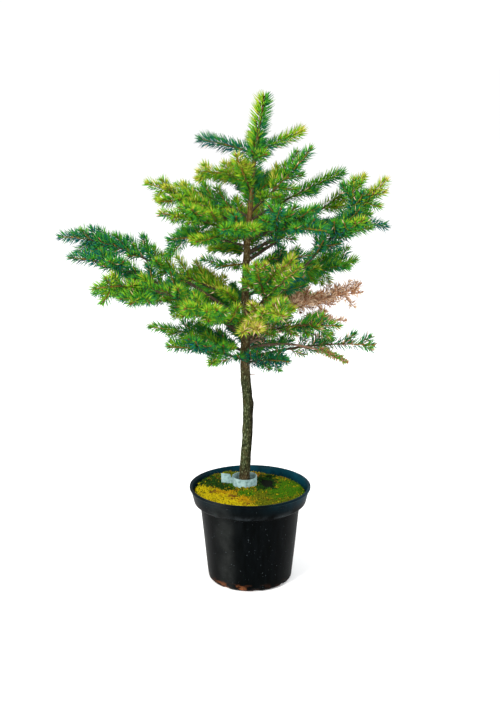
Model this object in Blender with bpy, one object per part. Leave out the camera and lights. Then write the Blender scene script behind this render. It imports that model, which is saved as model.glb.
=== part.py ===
"""A young spruce growing in a round nursery pot: pot, soil, moss, a loop label at the foot, trunk, boughs and needles.

Metres, +Z up. The origin is on the flat underside of the pot, on the pot's axis. -Y is the front and +X is the
right-hand side. Each bough starts on the trunk and runs to its tip in one arch. Its first stretch may be a bare
limb, and from there on it is a mass of needled shoots that stays in the space nearer to its own bough than to any
other bough or to the trunk.
"""

import math
import random
from collections import namedtuple

import bmesh
import bpy
import numpy as np

MM = 0.001
GAP = 0.3 * MM  # clearance between pieces that touch
UP = np.array([0.0, 0.0, 1.0])

# The pot, a four litre size: 210 mm across the lip and 169 mm tall
LIP_RADIUS = 105 * MM
POT_HEIGHT = 169 * MM
LIP_DEPTH = 4 * MM
BAND_FOOT_RADIUS = 97 * MM
BAND_DEPTH = 28 * MM
BODY_TOP_RADIUS = 86.5 * MM
STEP_DEPTH = 6 * MM
FOOT_RADIUS = 73 * MM
FOOT_BEVEL = 5 * MM
WALL = 1.8 * MM
FLOOR = 2.5 * MM
POT_SIDES = 30
DRAIN_COUNT = 6
DRAIN_RADIUS = 6 * MM
DRAIN_CIRCLE = 50 * MM

# The soil and the moss on it
SOIL_CREST = 155.5 * MM  # the level patch that the trunk stands on
SOIL_EDGE = 155 * MM  # the soil's height at the pot's wall
LEVEL_PATCH = 15 * MM
SOIL_SPARE = 1.6 * MM  # the soil has dried and shrunk this far from the pot's wall
MOSS_HOLE = 13.5 * MM
MOSS_THICKNESS = 5 * MM
MOSS_BUMP = 2.2 * MM
MOSS_RIM_SHARE = 0.6  # its thickness at its inner and outer edge, over the full one
GROUND_SIDES = 26
GROUND_RINGS = 4

# The label, a strip on its edge that loops round the trunk's foot and ends in a tail to the left
LABEL_RADIUS = 21 * MM
LABEL_HEIGHT = 15.5 * MM
LABEL_THICKNESS = 0.8 * MM
LABEL_TAIL = 20 * MM
LABEL_FOOT = 160.6 * MM
LABEL_STEPS = 22

# The trunk: height, sideways offset, depth offset and radius at each station, from the flat cut to the tip
TRUNK = (
    (SOIL_CREST, -10.5 * MM, 28.0 * MM, 12.0 * MM),
    (168.0 * MM, -10.0 * MM, 27.2 * MM, 9.5 * MM),
    (215.0 * MM, -7.4 * MM, 24.0 * MM, 9.0 * MM),
    (260.0 * MM, -4.0 * MM, 21.0 * MM, 8.8 * MM),
    (320.0 * MM, -4.4 * MM, 17.0 * MM, 8.5 * MM),
    (370.0 * MM, -8.0 * MM, 14.0 * MM, 8.2 * MM),
    (450.0 * MM, -7.6 * MM, 10.0 * MM, 7.0 * MM),
    (550.0 * MM, -7.0 * MM, 6.0 * MM, 5.6 * MM),
    (650.0 * MM, 0.5 * MM, 2.0 * MM, 4.2 * MM),
    (740.0 * MM, 8.5 * MM, 0.0 * MM, 3.0 * MM),
    (800.0 * MM, 18.0 * MM, 0.0 * MM, 2.2 * MM),
    (830.0 * MM, 24.0 * MM, 0.0 * MM, 1.5 * MM),
)
TRUNK_SIDES = 8
TRUNK_RINGS = 20

# Needled shoots
NEEDLE_STAND = 12 * MM  # how far a needle's tip stands off the shoot's axis
NEEDLE_FORWARD = 8 * MM  # and how far it leans towards the shoot's tip
NEEDLE_PITCH = 13.5 * MM
NEEDLE_SPARE = 1.8 * MM  # what a needle keeps to the edge of its own space
CORE_SPARE = 0.8 * MM
TWIG_RADIUS = 2.8 * MM
LATERAL_PITCH = 26 * MM
LATERAL_ANGLE = 50.0
CLEAN_TIP = 58 * MM  # the newest growth, which has no side shoots
LONGEST_LATERAL = 130 * MM
SHORTEST_LATERAL = 22 * MM
AXIS_STEPS = 36
LAST_NEEDLES = 9 * MM  # a bough's reach is to the tips of its last needles, so its wood ends this much sooner

# One row per bough: height on the trunk, compass angle from +X, reach, rise of the tip over the root, upward bow of
# the middle, share that is a bare limb, fan (side shoots' length over what is left of the bough), tip of its side
# shoots above level in degrees, its cover, and how far along it the bend lies
Bough = namedtuple("Bough", "name height angle reach lift bow limb fan tip_up cover bend", defaults=(0.5,))
BOUGHS = (
    Bough("top_left", 0.738, 173, 0.098, 0.024, 0.003, 0, 0, 0, "live"),
    Bough("top_right", 0.741, 14, 0.086, 0.036, -0.001, 0, 0, 0, "live"),
    Bough("top_back", 0.746, 92, 0.080, 0.020, 0.000, 0, 0, 0, "live"),
    Bough("top_front", 0.730, 294, 0.052, 0.012, 0.002, 0, 0.45, 0, "live"),
    Bough("second_left", 0.689, 190, 0.096, 0.021, 0.008, 0, 0.45, -30, "live"),
    Bough("second_front", 0.681, 244, 0.060, 0.066, -0.006, 0, 0.40, 0, "live"),
    Bough("second_right", 0.668, 12, 0.060, 0.046, 0.000, 0, 0.40, 0, "live"),
    Bough("second_back", 0.686, 60, 0.095, 0.014, 0.002, 0, 0.50, 0, "live"),
    Bough("second_rear_left", 0.680, 125, 0.100, 0.018, 0.002, 0, 0.50, 0, "live"),
    Bough("third_left", 0.634, 156, 0.142, 0.048, 0.006, 0, 0.45, -24, "live"),
    Bough("third_right_steep", 0.643, 338, 0.110, 0.112, -0.004, 0, 0.50, 10, "live"),
    Bough("third_right", 0.628, 9, 0.163, 0.080, 0.004, 0, 0.12, -40, "live"),
    Bough("third_back", 0.650, 85, 0.140, 0.050, 0.004, 0, 0.55, 0, "live"),
    Bough("fourth_left", 0.607, 184, 0.173, 0.086, 0.012, 0.14, 0.55, -10, "live"),
    Bough("fourth_front_left", 0.596, 214, 0.172, 0.058, 0.010, 0, 0.60, -22, "live"),
    Bough("fourth_front", 0.604, 252, 0.130, 0.028, 0.006, 0, 0.60, 0, "live"),
    Bough("fourth_front_right", 0.598, 312, 0.186, 0.034, 0.010, 0, 0.60, 0, "live"),
    Bough("fourth_rear_right", 0.596, 50, 0.120, 0.022, 0.006, 0, 0.60, -20, "live"),
    Bough("fourth_rear_left", 0.592, 128, 0.175, 0.060, 0.006, 0, 0.60, 0, "live"),
    Bough("small_left", 0.585, 200, 0.142, 0.018, 0.010, 0, 0.60, -36, "live"),
    Bough("inner_far_right", 0.549, 347, 0.115, 0.026, 0.004, 0, 0.50, 0, "live"),
    Bough("inner_left", 0.557, 212, 0.062, 0.000, 0.000, 0, 0.30, 16, "live"),
    Bough("inner_right", 0.532, 335, 0.110, 0.010, 0.004, 0, 0.55, 0, "live"),
    Bough("fifth_right", 0.560, 19, 0.218, 0.139, -0.004, 0.16, 0.30, -38, "live"),
    Bough("fifth_far_right", 0.573, 32, 0.300, 0.020, 0.028, 0, 0.34, -15, "live"),
    Bough("fifth_rear", 0.552, 92, 0.200, 0.070, 0.010, 0, 0.50, 0, "live"),
    Bough("sixth_rear_right", 0.500, 30, 0.225, 0.040, 0.014, 0, 0.65, 8, "live"),
    Bough("over_long_left", 0.482, 180, 0.172, 0.074, 0.010, 0, 0.42, -30, "live"),
    Bough("long_left", 0.456, 187, 0.312, 0.150, 0.032, 0.18, 0.50, -26, "live", 0.63),
    Bough("long_left_low", 0.430, 197, 0.300, 0.152, 0.025, 0, 0.40, 20, "live", 0.60),
    Bough("second_long_left", 0.444, 215, 0.292, 0.100, 0.026, 0.18, 0.56, -24, "live", 0.66),
    Bough("lower_front_left", 0.436, 244, 0.215, 0.085, 0.012, 0, 0.60, 0, "live"),
    Bough("lower_front", 0.451, 290, 0.180, 0.052, 0.010, 0, 0.60, 0, "live"),
    Bough("lower_front_right", 0.460, 304, 0.160, 0.116, 0.006, 0, 0.55, 0, "live"),
    Bough("lower_right", 0.427, 334, 0.178, 0.038, 0.012, 0, 0.75, 0, "live"),
    Bough("steep_right", 0.441, 351, 0.236, 0.264, 0.002, 0.22, 0.55, 14, "live"),
    Bough("dead_right", 0.468, 14, 0.212, 0.030, 0.004, 0, 0.75, -18, "dry"),
    Bough("dead_lower_right", 0.417, 8, 0.180, 0.037, 0.010, 0, 0.62, 0, "dry"),
    Bough("lower_rear_right", 0.446, 62, 0.230, 0.056, 0.014, 0, 0.60, 0, "live"),
    Bough("lower_rear", 0.454, 112, 0.220, 0.014, 0.018, 0, 0.55, 0, "live"),
    Bough("lower_rear_left", 0.441, 154, 0.308, 0.036, 0.020, 0, 0.42, 14, "live", 0.6),
    Bough("bottom_left", 0.404, 172, 0.172, 0.038, 0.008, 0, 0.55, 0, "live"),
    Bough("bottom_front_left", 0.389, 222, 0.172, 0.052, 0.006, 0, 0.58, 16, "live"),
    Bough("bottom_front", 0.384, 308, 0.120, 0.026, 0.004, 0, 0.60, 0, "live"),
    Bough("bottom_right", 0.390, 346, 0.226, 0.038, 0.012, 0.30, 0.46, 16, "sparse"),
    Bough("dead_bottom_right", 0.408, 330, 0.198, 0.000, 0.020, 0, 0.40, 0, "dead"),
    Bough("bottom_rear", 0.396, 80, 0.180, 0.040, 0.008, 0, 0.60, 0, "live"),
)

# Needles that stand straight on the trunk: node name, lowest and highest point of each stretch
TRUNK_NEEDLES = (
    ("needles_on_leader", 0.752, 0.835),
    ("needles_under_top", 0.700, 0.724),
)

BARK = ((0.19, 0.15, 0.10), 0.9)
TWIG_BARK = ((0.28, 0.19, 0.10), 0.85)
NEEDLES = ((0.12, 0.32, 0.07), 0.55)
DRY_TWIGS = ((0.42, 0.27, 0.17), 0.9)
POT_PLASTIC = ((0.02, 0.022, 0.023), 0.42)
SOIL = ((0.05, 0.035, 0.025), 1.0)
MOSS = ((0.28, 0.33, 0.05), 0.95)
LABEL_PLASTIC = ((0.78, 0.83, 0.82), 0.5)


def smooth_through(knots, values, at):
    """Cubic through the values, with the slopes of a parabola through each knot and its neighbours."""
    knots = np.asarray(knots, float)
    values = np.asarray(values, float)
    slopes = np.gradient(values, knots)
    at = np.clip(at, knots[0], knots[-1])
    i = np.clip(np.searchsorted(knots, at) - 1, 0, len(knots) - 2)
    width = knots[i + 1] - knots[i]
    t = (at - knots[i]) / width
    return (
        (2 * t**3 - 3 * t**2 + 1) * values[i]
        + (t**3 - 2 * t**2 + t) * width * slopes[i]
        + (3 * t**2 - 2 * t**3) * values[i + 1]
        + (t**3 - t**2) * width * slopes[i + 1]
    )


def trunk_centre(height):
    heights, sideways, depths, _ = zip(*TRUNK)
    return np.stack(
        [smooth_through(heights, sideways, height), smooth_through(heights, depths, height), height + 0.0 * height],
        axis=-1,
    )


def trunk_radius(height):
    heights, _, _, radii = zip(*TRUNK)
    return np.interp(height, heights, radii)


def unit(vectors):
    return vectors / np.linalg.norm(vectors, axis=-1, keepdims=True)


def along(points):
    """Distance along a line of points, from its start."""
    return np.concatenate([[0.0], np.cumsum(np.linalg.norm(np.diff(points, axis=0), axis=1))])


def points_at(points, distances):
    run = along(points)
    return np.stack([np.interp(distances, run, points[:, k]) for k in range(3)], axis=-1)


def arch(start, middle, end, steps=AXIS_STEPS):
    """Quadratic curve from start to end, pulled towards middle."""
    t = np.linspace(0.0, 1.0, steps)[:, None]
    return (1 - t) ** 2 * start + 2 * t * (1 - t) * middle + t**2 * end


def bough_axis(bough):
    """The bough's centreline, from the trunk's own centreline to the bough's tip."""
    start = trunk_centre(np.array(bough.height))
    turn = math.radians(bough.angle)
    end = start + np.array([bough.reach * math.cos(turn), bough.reach * math.sin(turn), bough.lift])
    whole = arch(start, start + bough.bend * (end - start) + 2 * bough.bow * UP, end)
    return points_at(whole, np.linspace(0, along(whole)[-1] - LAST_NEEDLES, AXIS_STEPS))


AXES = {bough.name: bough_axis(bough) for bough in BOUGHS}
TRUNK_LINE = trunk_centre(np.linspace(TRUNK[0][0], TRUNK[-1][0], 60))


def distance_to(points, line):
    """Shortest distance from each point to a line of points."""
    starts = line[:-1]
    steps = np.diff(line, axis=0)
    from_start = points[:, None, :] - starts[None]
    share = np.clip(np.einsum("ijk,jk->ij", from_start, steps) / (steps**2).sum(1), 0, 1)
    return np.linalg.norm(from_start - share[..., None] * steps[None], axis=2).min(axis=1)


def trunk_clearance(points):
    return distance_to(points, TRUNK_LINE) - trunk_radius(points[:, 2])


def in_own_space(points, owner, spare):
    """Whether each point is nearer to its owner's axis than to every other axis and to the trunk's bark."""
    points = np.asarray(points, float).reshape(-1, 3)
    own = trunk_clearance(points) if owner == "trunk" else distance_to(points, AXES[owner])
    free = np.ones(len(points), bool) if owner == "trunk" else own + spare < trunk_clearance(points)
    for name, line in AXES.items():
        if name != owner:
            free &= own + spare < distance_to(points, line)
    return free


Shoot = namedtuple("Shoot", "line normal radius")


def bark_exit(line):
    """How far along a bough's centreline it leaves the trunk's bark, with the gap."""
    run = along(line)
    clear = trunk_clearance(line) > GAP
    first = int(np.argmax(clear))
    before, after = (trunk_clearance(line[first - 1 : first + 1]) - GAP)
    return run[first - 1] + (run[first] - run[first - 1]) * -before / (after - before)


def bough_radius(bough, share):
    """The limb's radius at a share of the bough's length: stouter on a long bough."""
    root = (1.5 + 6.0 * bough.reach) * MM
    return root * (1 - share) + 0.9 * MM * share


def lateral_shoots(bough, first, length):
    """The side shoots of a bough, left and right in turn, by a rule seeded with the bough's name."""
    line = AXES[bough.name]
    turn = math.radians(bough.angle)
    across = np.array([-math.sin(turn), math.cos(turn), 0.0])
    found = []
    at, index = first + 0.5 * LATERAL_PITCH, 0
    while at < length - CLEAN_TIP:
        rng = random.Random(f"{bough.name} {index}")
        side = 1 if index % 2 else -1
        root, ahead = points_at(line, np.array([at, at + 2 * MM]))
        tangent = unit(ahead - root)
        reach = min(bough.fan * (length - at) * rng.uniform(0.85, 1.15) + 16 * MM, LONGEST_LATERAL)
        open_angle = math.radians(LATERAL_ANGLE + rng.uniform(-7, 7))
        tilt = math.radians(rng.choice((-28, 4, 4, 46)) + bough.tip_up + rng.uniform(-12, 12))
        level = side * across * math.cos(tilt) + np.cross(tangent, across * side) * side * math.sin(tilt)
        leave = unit(tangent * math.cos(open_angle) + level * math.sin(open_angle))
        settle = unit(leave + 0.45 * tangent + rng.uniform(-0.12, 0.16) * UP)
        found.append(arch(root, root + 0.5 * reach * leave, root + 0.5 * reach * (leave + settle), 12))
        at += LATERAL_PITCH * rng.uniform(0.8, 1.2)
        index += 1
    return found


def within_space(line, owner):
    """The first stretch of a side shoot that stays in its owner's space, or None if it is too short."""
    free = in_own_space(line, owner, CORE_SPARE + TWIG_RADIUS)
    free[0] = True
    stop = len(line) if free.all() else int(np.argmin(free))
    line = line[:stop]
    if stop < 3 or along(line)[-1] < SHORTEST_LATERAL:
        return None
    return line


def ring_frames(points, normal):
    """(tangents, sideways directions, upward directions) of a line, with sideways square to normal."""
    tangents = unit(np.gradient(points, axis=0))
    sideways = unit(np.cross(normal, tangents))
    return tangents, sideways, np.cross(tangents, sideways)


def lofted(name, rings, tip=None):
    """One closed mesh through rings of equally many points, its ends capped or brought to a tip.

    Each four-sided face is split along its shorter diagonal, so that a point which stands out stays sharp.
    """
    mesh = bmesh.new()
    loops = [[mesh.verts.new(tuple(p)) for p in ring] for ring in rings]
    count = len(loops[0])
    for lower, upper in zip(loops, loops[1:]):
        for k in range(count):
            n = (k + 1) % count
            if (lower[k].co - upper[n].co).length < (lower[n].co - upper[k].co).length:
                mesh.faces.new((lower[k], lower[n], upper[n]))
                mesh.faces.new((lower[k], upper[n], upper[k]))
            else:
                mesh.faces.new((lower[k], lower[n], upper[k]))
                mesh.faces.new((lower[n], upper[n], upper[k]))
    mesh.faces.new(loops[0][::-1])
    if tip is None:
        mesh.faces.new(loops[-1])
    else:
        apex = mesh.verts.new(tuple(tip))
        for k in range(count):
            mesh.faces.new((loops[-1][k], loops[-1][(k + 1) % count], apex))
    bmesh.ops.triangulate(mesh, faces=mesh.faces)
    bmesh.ops.recalc_face_normals(mesh, faces=mesh.faces)
    data = bpy.data.meshes.new(name)
    mesh.to_mesh(data)
    mesh.free()
    obj = bpy.data.objects.new(name, data)
    bpy.context.scene.collection.objects.link(obj)
    return obj


def tube(name, points, radii, normal, sides, upright_root=None):
    """A round tapering tube. upright_root is the level direction that its first ring faces, to sit on the trunk."""
    tangents, sideways, upward = ring_frames(points, normal)
    if upright_root is not None:
        sideways[0] = unit(np.cross(UP, upright_root))
        upward[0] = UP
    turns = np.linspace(0, 2 * math.pi, sides, endpoint=False)
    rings = [
        point + radius * (np.cos(turns)[:, None] * across + np.sin(turns)[:, None] * high)
        for point, radius, across, high in zip(points, radii, sideways, upward)
    ]
    return lofted(name, rings)


def needled(name, line, normal, owner, root_radius, tip_radius, seed, upright_root=None, stand_share=1.0):
    """A shoot as a slim square core with pairs of needles standing out of it, by turns level and upright.

    Towards the shoot's tip the needles lie closer to it.
    """
    rng = random.Random(seed)
    length = along(line)[-1]
    count = max(3, round(length / NEEDLE_PITCH))
    points = points_at(line, np.linspace(0, length, count + 1))
    tangents, sideways, upward = ring_frames(points, normal)
    if upright_root is not None:
        sideways[0] = unit(np.cross(UP, upright_root))
        upward[0] = UP
    core = np.linspace(root_radius, tip_radius, count + 1)
    rings = []
    for k in range(count + 1):
        outward = np.array([sideways[k], upward[k], -sideways[k], -upward[k]])
        ring = points[k] + core[k] * outward
        for corner in range(4):
            stand = stand_share * NEEDLE_STAND * rng.uniform(0.85, 1.12) * (0.8 if corner == 3 else 1.0)
            stand *= 1 - 0.45 * max(0, k + 2 - count) / 2
            if k == 0 or corner % 2 != k % 2:
                continue
            tip = points[k] + stand * outward[corner] + NEEDLE_FORWARD * tangents[k]
            if in_own_space(np.linspace(points[k], tip, 4)[1:], owner, NEEDLE_SPARE).all():
                ring[corner] = tip
        rings.append(ring)
    bud = points[-1] + np.linspace(0.2, 1.1, 6)[:, None] * NEEDLE_FORWARD * tangents[-1]
    free = in_own_space(bud, owner, NEEDLE_SPARE)
    return lofted(name, rings, tip=bud[5 if free.all() else max(0, int(np.argmin(free)) - 1)])


def fuse(name, pieces):
    """One solid from overlapping pieces, by a single Boolean union on a collection."""
    body = pieces[0]
    if len(pieces) > 1:
        others = bpy.data.collections.new(name + " pieces")
        for piece in pieces[1:]:
            bpy.context.scene.collection.objects.unlink(piece)
            others.objects.link(piece)
        join = body.modifiers.new("join", "BOOLEAN")
        join.operation = "UNION"
        join.operand_type = "COLLECTION"
        join.collection = others
        join.solver = "MANIFOLD"
        evaluated = body.evaluated_get(bpy.context.evaluated_depsgraph_get())
        fused = bpy.data.meshes.new_from_object(evaluated)
        body.modifiers.clear()
        body.data = fused
        for piece in list(others.objects):
            bpy.data.objects.remove(piece)
        bpy.data.collections.remove(others)
    body.name = name
    body.data.name = name
    return body


def material(name, look):
    made = bpy.data.materials.new(name)
    made.use_nodes = True
    shader = made.node_tree.nodes["Principled BSDF"]
    colour, roughness = look
    shader.inputs["Base Color"].default_value = (*colour, 1.0)
    shader.inputs["Roughness"].default_value = roughness
    shader.inputs["Metallic"].default_value = 0.0
    return made


def build_bough(bough, looks):
    """The bough's bare limb, where it has one, and its mass of shoots from the limb's tip on."""
    line = AXES[bough.name]
    normal = UP
    length = along(line)[-1]
    root = bark_exit(line)
    turn = math.radians(bough.angle)
    outward = np.array([math.cos(turn), math.sin(turn), 0.0])
    limb_end = root
    if bough.limb:
        limb_end = root + bough.limb * length
        stations = np.linspace(root, limb_end, 5)
        radii = [bough_radius(bough, s / length) for s in stations]
        radii[0] *= 1.15
        limb = tube(bough.name + "_limb", points_at(line, stations), radii, normal, 6, outward)
        limb.data.materials.append(looks["twig_bark"])
        limb_end += GAP
    start_radius = max(bough_radius(bough, limb_end / length), TWIG_RADIUS)
    main = points_at(line, np.linspace(limb_end, length, AXIS_STEPS))
    face = None if bough.limb else outward
    bare = bough.cover == "dead"
    stand_share = 0.65 if bough.cover == "dry" else 1.0
    laterals = [
        (index, kept)
        for index, side in enumerate(lateral_shoots(bough, limb_end, length))
        if (kept := within_space(side, bough.name)) is not None
    ]
    pieces = []
    if bare:
        stations = points_at(main, np.linspace(0, along(main)[-1], 9))
        pieces.append(tube("stem", stations, np.linspace(start_radius, 1.0 * MM, 9), normal, 4, face))
        for index, side in laterals:
            stations = points_at(side, np.linspace(0, along(side)[-1], 5))
            pieces.append(tube(f"twig {index}", stations, np.linspace(1.4 * MM, 0.8 * MM, 5), normal, 3))
    else:
        widths = (start_radius, 2.0 * MM)
        pieces.append(needled("stem", main, normal, bough.name, *widths, bough.name, face, stand_share))
        for index, side in laterals:
            seed = f"{bough.name} needles {index}"
            widths = (TWIG_RADIUS, 2.0 * MM)
            pieces.append(needled(f"twig {index}", side, normal, bough.name, *widths, seed, None, stand_share))
    mass = fuse(bough.name + ("_twigs" if bare else "_needles"), pieces)
    mass.data.materials.clear()
    mass.data.materials.append(looks["dry_twigs" if bough.cover in ("dead", "dry") else "needles"])
    return mass


def build_trunk(looks):
    share = np.linspace(0, 1, TRUNK_RINGS) ** 1.15
    heights = TRUNK[0][0] + share * (TRUNK[-1][0] - TRUNK[0][0])
    heights[1] = TRUNK[0][0] + 6 * MM
    centres = trunk_centre(heights)
    radii = trunk_radius(heights)
    turns = np.linspace(0, 2 * math.pi, TRUNK_SIDES, endpoint=False)
    circle = np.stack([np.cos(turns), np.sin(turns), np.zeros(TRUNK_SIDES)], axis=-1)
    rings = []
    for height, centre, radius in zip(heights, centres, radii):
        flare = max(0.0, 1 - (height - TRUNK[0][0]) / (22 * MM))
        lobes = 1 + 0.10 * flare * np.cos(3 * turns + 0.6)
        rings.append(centre + radius * lobes[:, None] * circle)
    trunk = lofted("trunk", rings, tip=centres[-1] + 2 * MM * UP)
    trunk.data.materials.append(looks["bark"])


def build_trunk_needles(name, low, high, looks):
    """A sleeve of needles round the trunk. Where it passes the trunk's tip it closes over it."""
    rng = random.Random(name)
    tip_height = TRUNK[-1][0]
    covers_tip = high > tip_height
    count = max(2, round((min(high, tip_height) - low) / (7 * MM)))
    heights = np.linspace(low, min(high, tip_height + 1 * MM), count + 1)
    centres = trunk_centre(np.minimum(heights, tip_height))
    centres[:, 2] = heights
    sides = 6
    turns = np.linspace(0, 2 * math.pi, sides, endpoint=False)
    circle = np.stack([np.cos(turns), np.sin(turns), np.zeros(sides)], axis=-1)
    inner_radius = (trunk_radius(heights) + GAP) / math.cos(math.pi / TRUNK_SIDES) / math.cos(math.pi / sides) + 0.2 * MM
    outer, inner = [], []
    for k in range(count + 1):
        ring = centres[k] + (inner_radius[k] + 1.0 * MM) * circle
        for corner in range(sides):
            stand = NEEDLE_STAND * rng.uniform(1.0, 1.3)
            if covers_tip:
                stand *= 1.38 - 0.6 * max(0, k + 2 - count) / 2
            if corner % 2 != k % 2 or (k == count and not covers_tip):
                continue
            spike = centres[k] + (trunk_radius(heights[k]) + stand) * circle[corner]
            spike[2] += NEEDLE_FORWARD
            if in_own_space(spike, "trunk", NEEDLE_SPARE)[0]:
                ring[corner] = spike
        outer.append(ring)
        inner.append(centres[k] + inner_radius[k] * circle)
    mesh = bmesh.new()
    outer_loops = [[mesh.verts.new(tuple(p)) for p in ring] for ring in outer]
    inner_loops = [[mesh.verts.new(tuple(p)) for p in ring] for ring in inner]
    for k in range(sides):
        n = (k + 1) % sides
        for low_ring, high_ring in zip(outer_loops, outer_loops[1:]):
            mesh.faces.new((low_ring[k], low_ring[n], high_ring[n], high_ring[k]))
        for low_ring, high_ring in zip(inner_loops, inner_loops[1:]):
            mesh.faces.new((low_ring[n], low_ring[k], high_ring[k], high_ring[n]))
        mesh.faces.new((outer_loops[0][n], outer_loops[0][k], inner_loops[0][k], inner_loops[0][n]))
        if not covers_tip:
            mesh.faces.new((outer_loops[-1][k], outer_loops[-1][n], inner_loops[-1][n], inner_loops[-1][k]))
    if covers_tip:
        roof = trunk_centre(np.array(tip_height))
        inner_apex = mesh.verts.new(tuple(roof + 3.2 * MM * UP))
        outer_apex = mesh.verts.new(tuple(roof + (high + NEEDLE_FORWARD - tip_height) * UP))
        for k in range(sides):
            n = (k + 1) % sides
            mesh.faces.new((outer_loops[-1][k], outer_loops[-1][n], outer_apex))
            mesh.faces.new((inner_loops[-1][n], inner_loops[-1][k], inner_apex))
    bmesh.ops.triangulate(mesh, faces=mesh.faces)
    bmesh.ops.recalc_face_normals(mesh, faces=mesh.faces)
    data = bpy.data.meshes.new(name)
    mesh.to_mesh(data)
    mesh.free()
    data.materials.append(looks["needles"])
    bpy.context.scene.collection.objects.link(bpy.data.objects.new(name, data))


def inner_wall():
    """The pot's inside as (radius, height), from the floor up: the body's taper, the step, then the band."""
    return (
        (FOOT_RADIUS - FOOT_BEVEL - WALL, FLOOR),
        (FOOT_RADIUS - WALL, FOOT_BEVEL + FLOOR),
        (BODY_TOP_RADIUS - WALL, POT_HEIGHT - BAND_DEPTH - STEP_DEPTH + 0.6 * MM),
        (BAND_FOOT_RADIUS - WALL, POT_HEIGHT - BAND_DEPTH + 0.6 * MM),
        (LIP_RADIUS - 2.2 * MM - WALL, POT_HEIGHT),
    )


def inner_pot_radius(height):
    radii, heights = zip(*inner_wall())
    return np.interp(height, heights, radii)


def build_pot(looks):
    """Turned from one profile: down the outside, across the underside, and up the inside."""
    band_foot = POT_HEIGHT - BAND_DEPTH
    body_top = band_foot - STEP_DEPTH
    outside = [
        (LIP_RADIUS - 0.6 * MM, POT_HEIGHT),
        (LIP_RADIUS, POT_HEIGHT - 1.2 * MM),
        (LIP_RADIUS - 0.4 * MM, POT_HEIGHT - LIP_DEPTH),
        (LIP_RADIUS - 2.2 * MM, POT_HEIGHT - LIP_DEPTH - 0.8 * MM),
        (BAND_FOOT_RADIUS, band_foot),
        (BODY_TOP_RADIUS, body_top),
        (FOOT_RADIUS, FOOT_BEVEL),
        (FOOT_RADIUS - FOOT_BEVEL, 0),
    ]
    mesh = bmesh.new()
    loops = []
    turns = np.linspace(0, 2 * math.pi, POT_SIDES, endpoint=False)
    for radius, height in (*outside, *inner_wall()):
        loops.append([mesh.verts.new((radius * math.cos(a), radius * math.sin(a), height)) for a in turns])
    under = len(outside) - 1
    for index, (first, second) in enumerate(zip(loops, loops[1:] + loops[:1])):
        if index == under:
            continue
        for k in range(POT_SIDES):
            n = (k + 1) % POT_SIDES
            mesh.faces.new((first[n], first[k], second[k], second[n]))
    mesh.faces.new(loops[under])
    mesh.faces.new(loops[under + 1])
    bmesh.ops.recalc_face_normals(mesh, faces=mesh.faces)
    data = bpy.data.meshes.new("pot")
    mesh.to_mesh(data)
    mesh.free()
    pot = bpy.data.objects.new("pot", data)
    bpy.context.scene.collection.objects.link(pot)
    drains = []
    for k in range(DRAIN_COUNT):
        turn = 2 * math.pi * k / DRAIN_COUNT
        spot = (DRAIN_CIRCLE * math.cos(turn), DRAIN_CIRCLE * math.sin(turn), FLOOR / 2)
        bpy.ops.mesh.primitive_cylinder_add(vertices=8, radius=DRAIN_RADIUS, depth=4 * FLOOR, location=spot)
        drains.append(bpy.context.object)
    for drain in drains:
        cut = pot.modifiers.new("drain", "BOOLEAN")
        cut.operation = "DIFFERENCE"
        cut.object = drain
    evaluated = pot.evaluated_get(bpy.context.evaluated_depsgraph_get())
    cut_mesh = bpy.data.meshes.new_from_object(evaluated)
    pot.modifiers.clear()
    pot.data = cut_mesh
    for drain in drains:
        bpy.data.objects.remove(drain)
    pot.data.materials.clear()
    pot.data.materials.append(looks["pot_plastic"])


def wall_distance(foot, turn, radius):
    """How far it is from the trunk's foot, in a level direction, to a circle round the pot's axis."""
    direction = np.array([math.cos(turn), math.sin(turn)])
    half = foot @ direction
    return -half + math.sqrt(half**2 - foot @ foot + radius**2)


def soil_height(share):
    """The soil's surface: level at the trunk, then falling to the wall. share runs from 0 there to 1 at the wall."""
    return SOIL_CREST - GAP + (SOIL_EDGE - SOIL_CREST) * share**1.3


def moss_bump(x, y):
    """Cushions of moss: slow and quick waves over the surface."""
    slow = math.sin(46 * x + 1.0) * math.cos(39 * y - 0.6)
    quick = math.sin(131 * x - 2.0) * math.sin(117 * y + 0.9)
    return MOSS_BUMP * (0.6 * slow + 0.4 * quick)


def ground_rings(foot, inner, edge_gap, height_at):
    """Rings of points round the trunk's foot, from a radius of inner to the pot's wall."""
    rings = []
    for share in np.linspace(0, 1, GROUND_RINGS) ** 1.3:
        ring = []
        for turn in np.linspace(0, 2 * math.pi, GROUND_SIDES, endpoint=False):
            wall = inner_pot_radius(SOIL_EDGE) - edge_gap
            reach = inner + share * (wall_distance(foot, turn, wall) - inner)
            x = foot[0] + reach * math.cos(turn)
            y = foot[1] + reach * math.sin(turn)
            ring.append((x, y, height_at(share, x, y)))
        rings.append(ring)
    return rings


def build_soil(looks):
    foot = np.array([TRUNK[0][1], TRUNK[0][2]])
    top = ground_rings(foot, LEVEL_PATCH, SOIL_SPARE, lambda share, x, y: soil_height(share))
    lower = []
    for radius, height in inner_wall()[-2::-1]:
        radius -= SOIL_SPARE
        height = max(height, FLOOR + GAP)
        ring = []
        for x, y, _ in top[-1]:
            turn = math.atan2(y, x)
            ring.append((radius * math.cos(turn), radius * math.sin(turn), height))
        lower.append(ring)
    soil = lofted("soil", top + lower)
    soil.data.materials.append(looks["soil"])


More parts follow.
